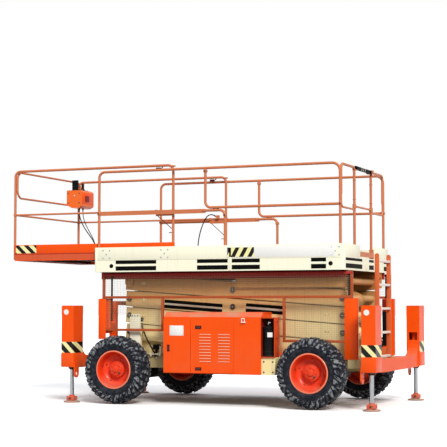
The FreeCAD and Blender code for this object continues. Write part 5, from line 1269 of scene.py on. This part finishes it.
def makeStage():
    mesh = bmesh.new()
    bmesh.ops.create_grid(mesh, x_segments=1, y_segments=1, size=150)
    data = bpy.data.meshes.new("studioFloor")
    mesh.to_mesh(data)
    mesh.free()
    floor = bpy.data.objects.new("studioFloor", data)
    bpy.context.scene.collection.objects.link(floor)
    floor.location.z = -0.001
    material = bpy.data.materials.new("studioFloor")
    material.use_nodes = True
    tree = material.node_tree
    tree.nodes.remove(tree.nodes["Principled BSDF"])
    matt = addNode(tree, "ShaderNodeBsdfDiffuse")
    path = addNode(tree, "ShaderNodeLightPath")
    seen = step(tree, "MAXIMUM", path.outputs["Is Camera Ray"], path.outputs["Is Glossy Ray"])
    feed(tree, matt.inputs["Color"], blendColor(tree, seen, rgb(light["floor"]), rgb(light["floorSeen"])))
    feed(tree, tree.nodes["Material Output"].inputs[0], matt.outputs[0])
    data.materials.append(material)
    world = bpy.data.worlds.new("studioSky")
    bpy.context.scene.world = world
    world.use_nodes = True
    tree = world.node_tree
    sky = tree.nodes["Background"]
    sky.inputs["Color"].default_value = (0.95, 0.97, 1.0, 1)
    split = tree.nodes.new("ShaderNodeSeparateXYZ")
    feed(tree, split.inputs[0], tree.nodes.new("ShaderNodeTexCoord").outputs["Generated"])
    height = step(tree, "MAXIMUM", split.outputs[2], 0.0)
    rise = step(tree, "MULTIPLY", height, light["zenith"] - light["horizon"])
    feed(tree, sky.inputs["Strength"], step(tree, "ADD", rise, light["horizon"]))
    plain = addNode(tree, "ShaderNodeBackground")
    plain.inputs["Strength"].default_value = 1.0
    plain.inputs["Color"].default_value = (1, 1, 1, 1)
    mixed = addNode(tree, "ShaderNodeMixShader")
    path = addNode(tree, "ShaderNodeLightPath")
    seen = step(tree, "MAXIMUM", step(tree, "MAXIMUM", path.outputs["Is Camera Ray"], path.outputs["Is Glossy Ray"]),
                path.outputs["Is Transmission Ray"])
    feed(tree, mixed.inputs[0], seen)
    feed(tree, mixed.inputs[1], sky.outputs[0])
    feed(tree, mixed.inputs[2], plain.outputs[0])
    feed(tree, tree.nodes["World Output"].inputs[0], mixed.outputs[0])
    lamp = bpy.data.lights.new("softSun", "SUN")
    lamp.energy = light["sun"]
    lamp.angle = math.radians(18)
    lamp.color = (1.0, 0.97, 0.93)
    sun = bpy.data.objects.new("softSun", lamp)
    sun.rotation_euler = [math.radians(value) for value in light["sunTurn"]]
    bpy.context.scene.collection.objects.link(sun)


def makeCamera():
    lens = bpy.data.cameras.new("photoView")
    lens.lens = view["focal"]
    lens.sensor_width = 36.0
    lens.clip_end = 400
    camera = bpy.data.objects.new("photoView", lens)
    camera.location = (view["place"][0] + midX, view["place"][1], view["place"][2])
    camera.rotation_euler = (math.radians(90 + view["tilt"]), 0, math.radians(view["turn"]))
    bpy.context.scene.collection.objects.link(camera)
    bpy.context.scene.camera = camera


makeStage()
makeCamera()
bpy.context.scene.view_settings.view_transform = "Standard"
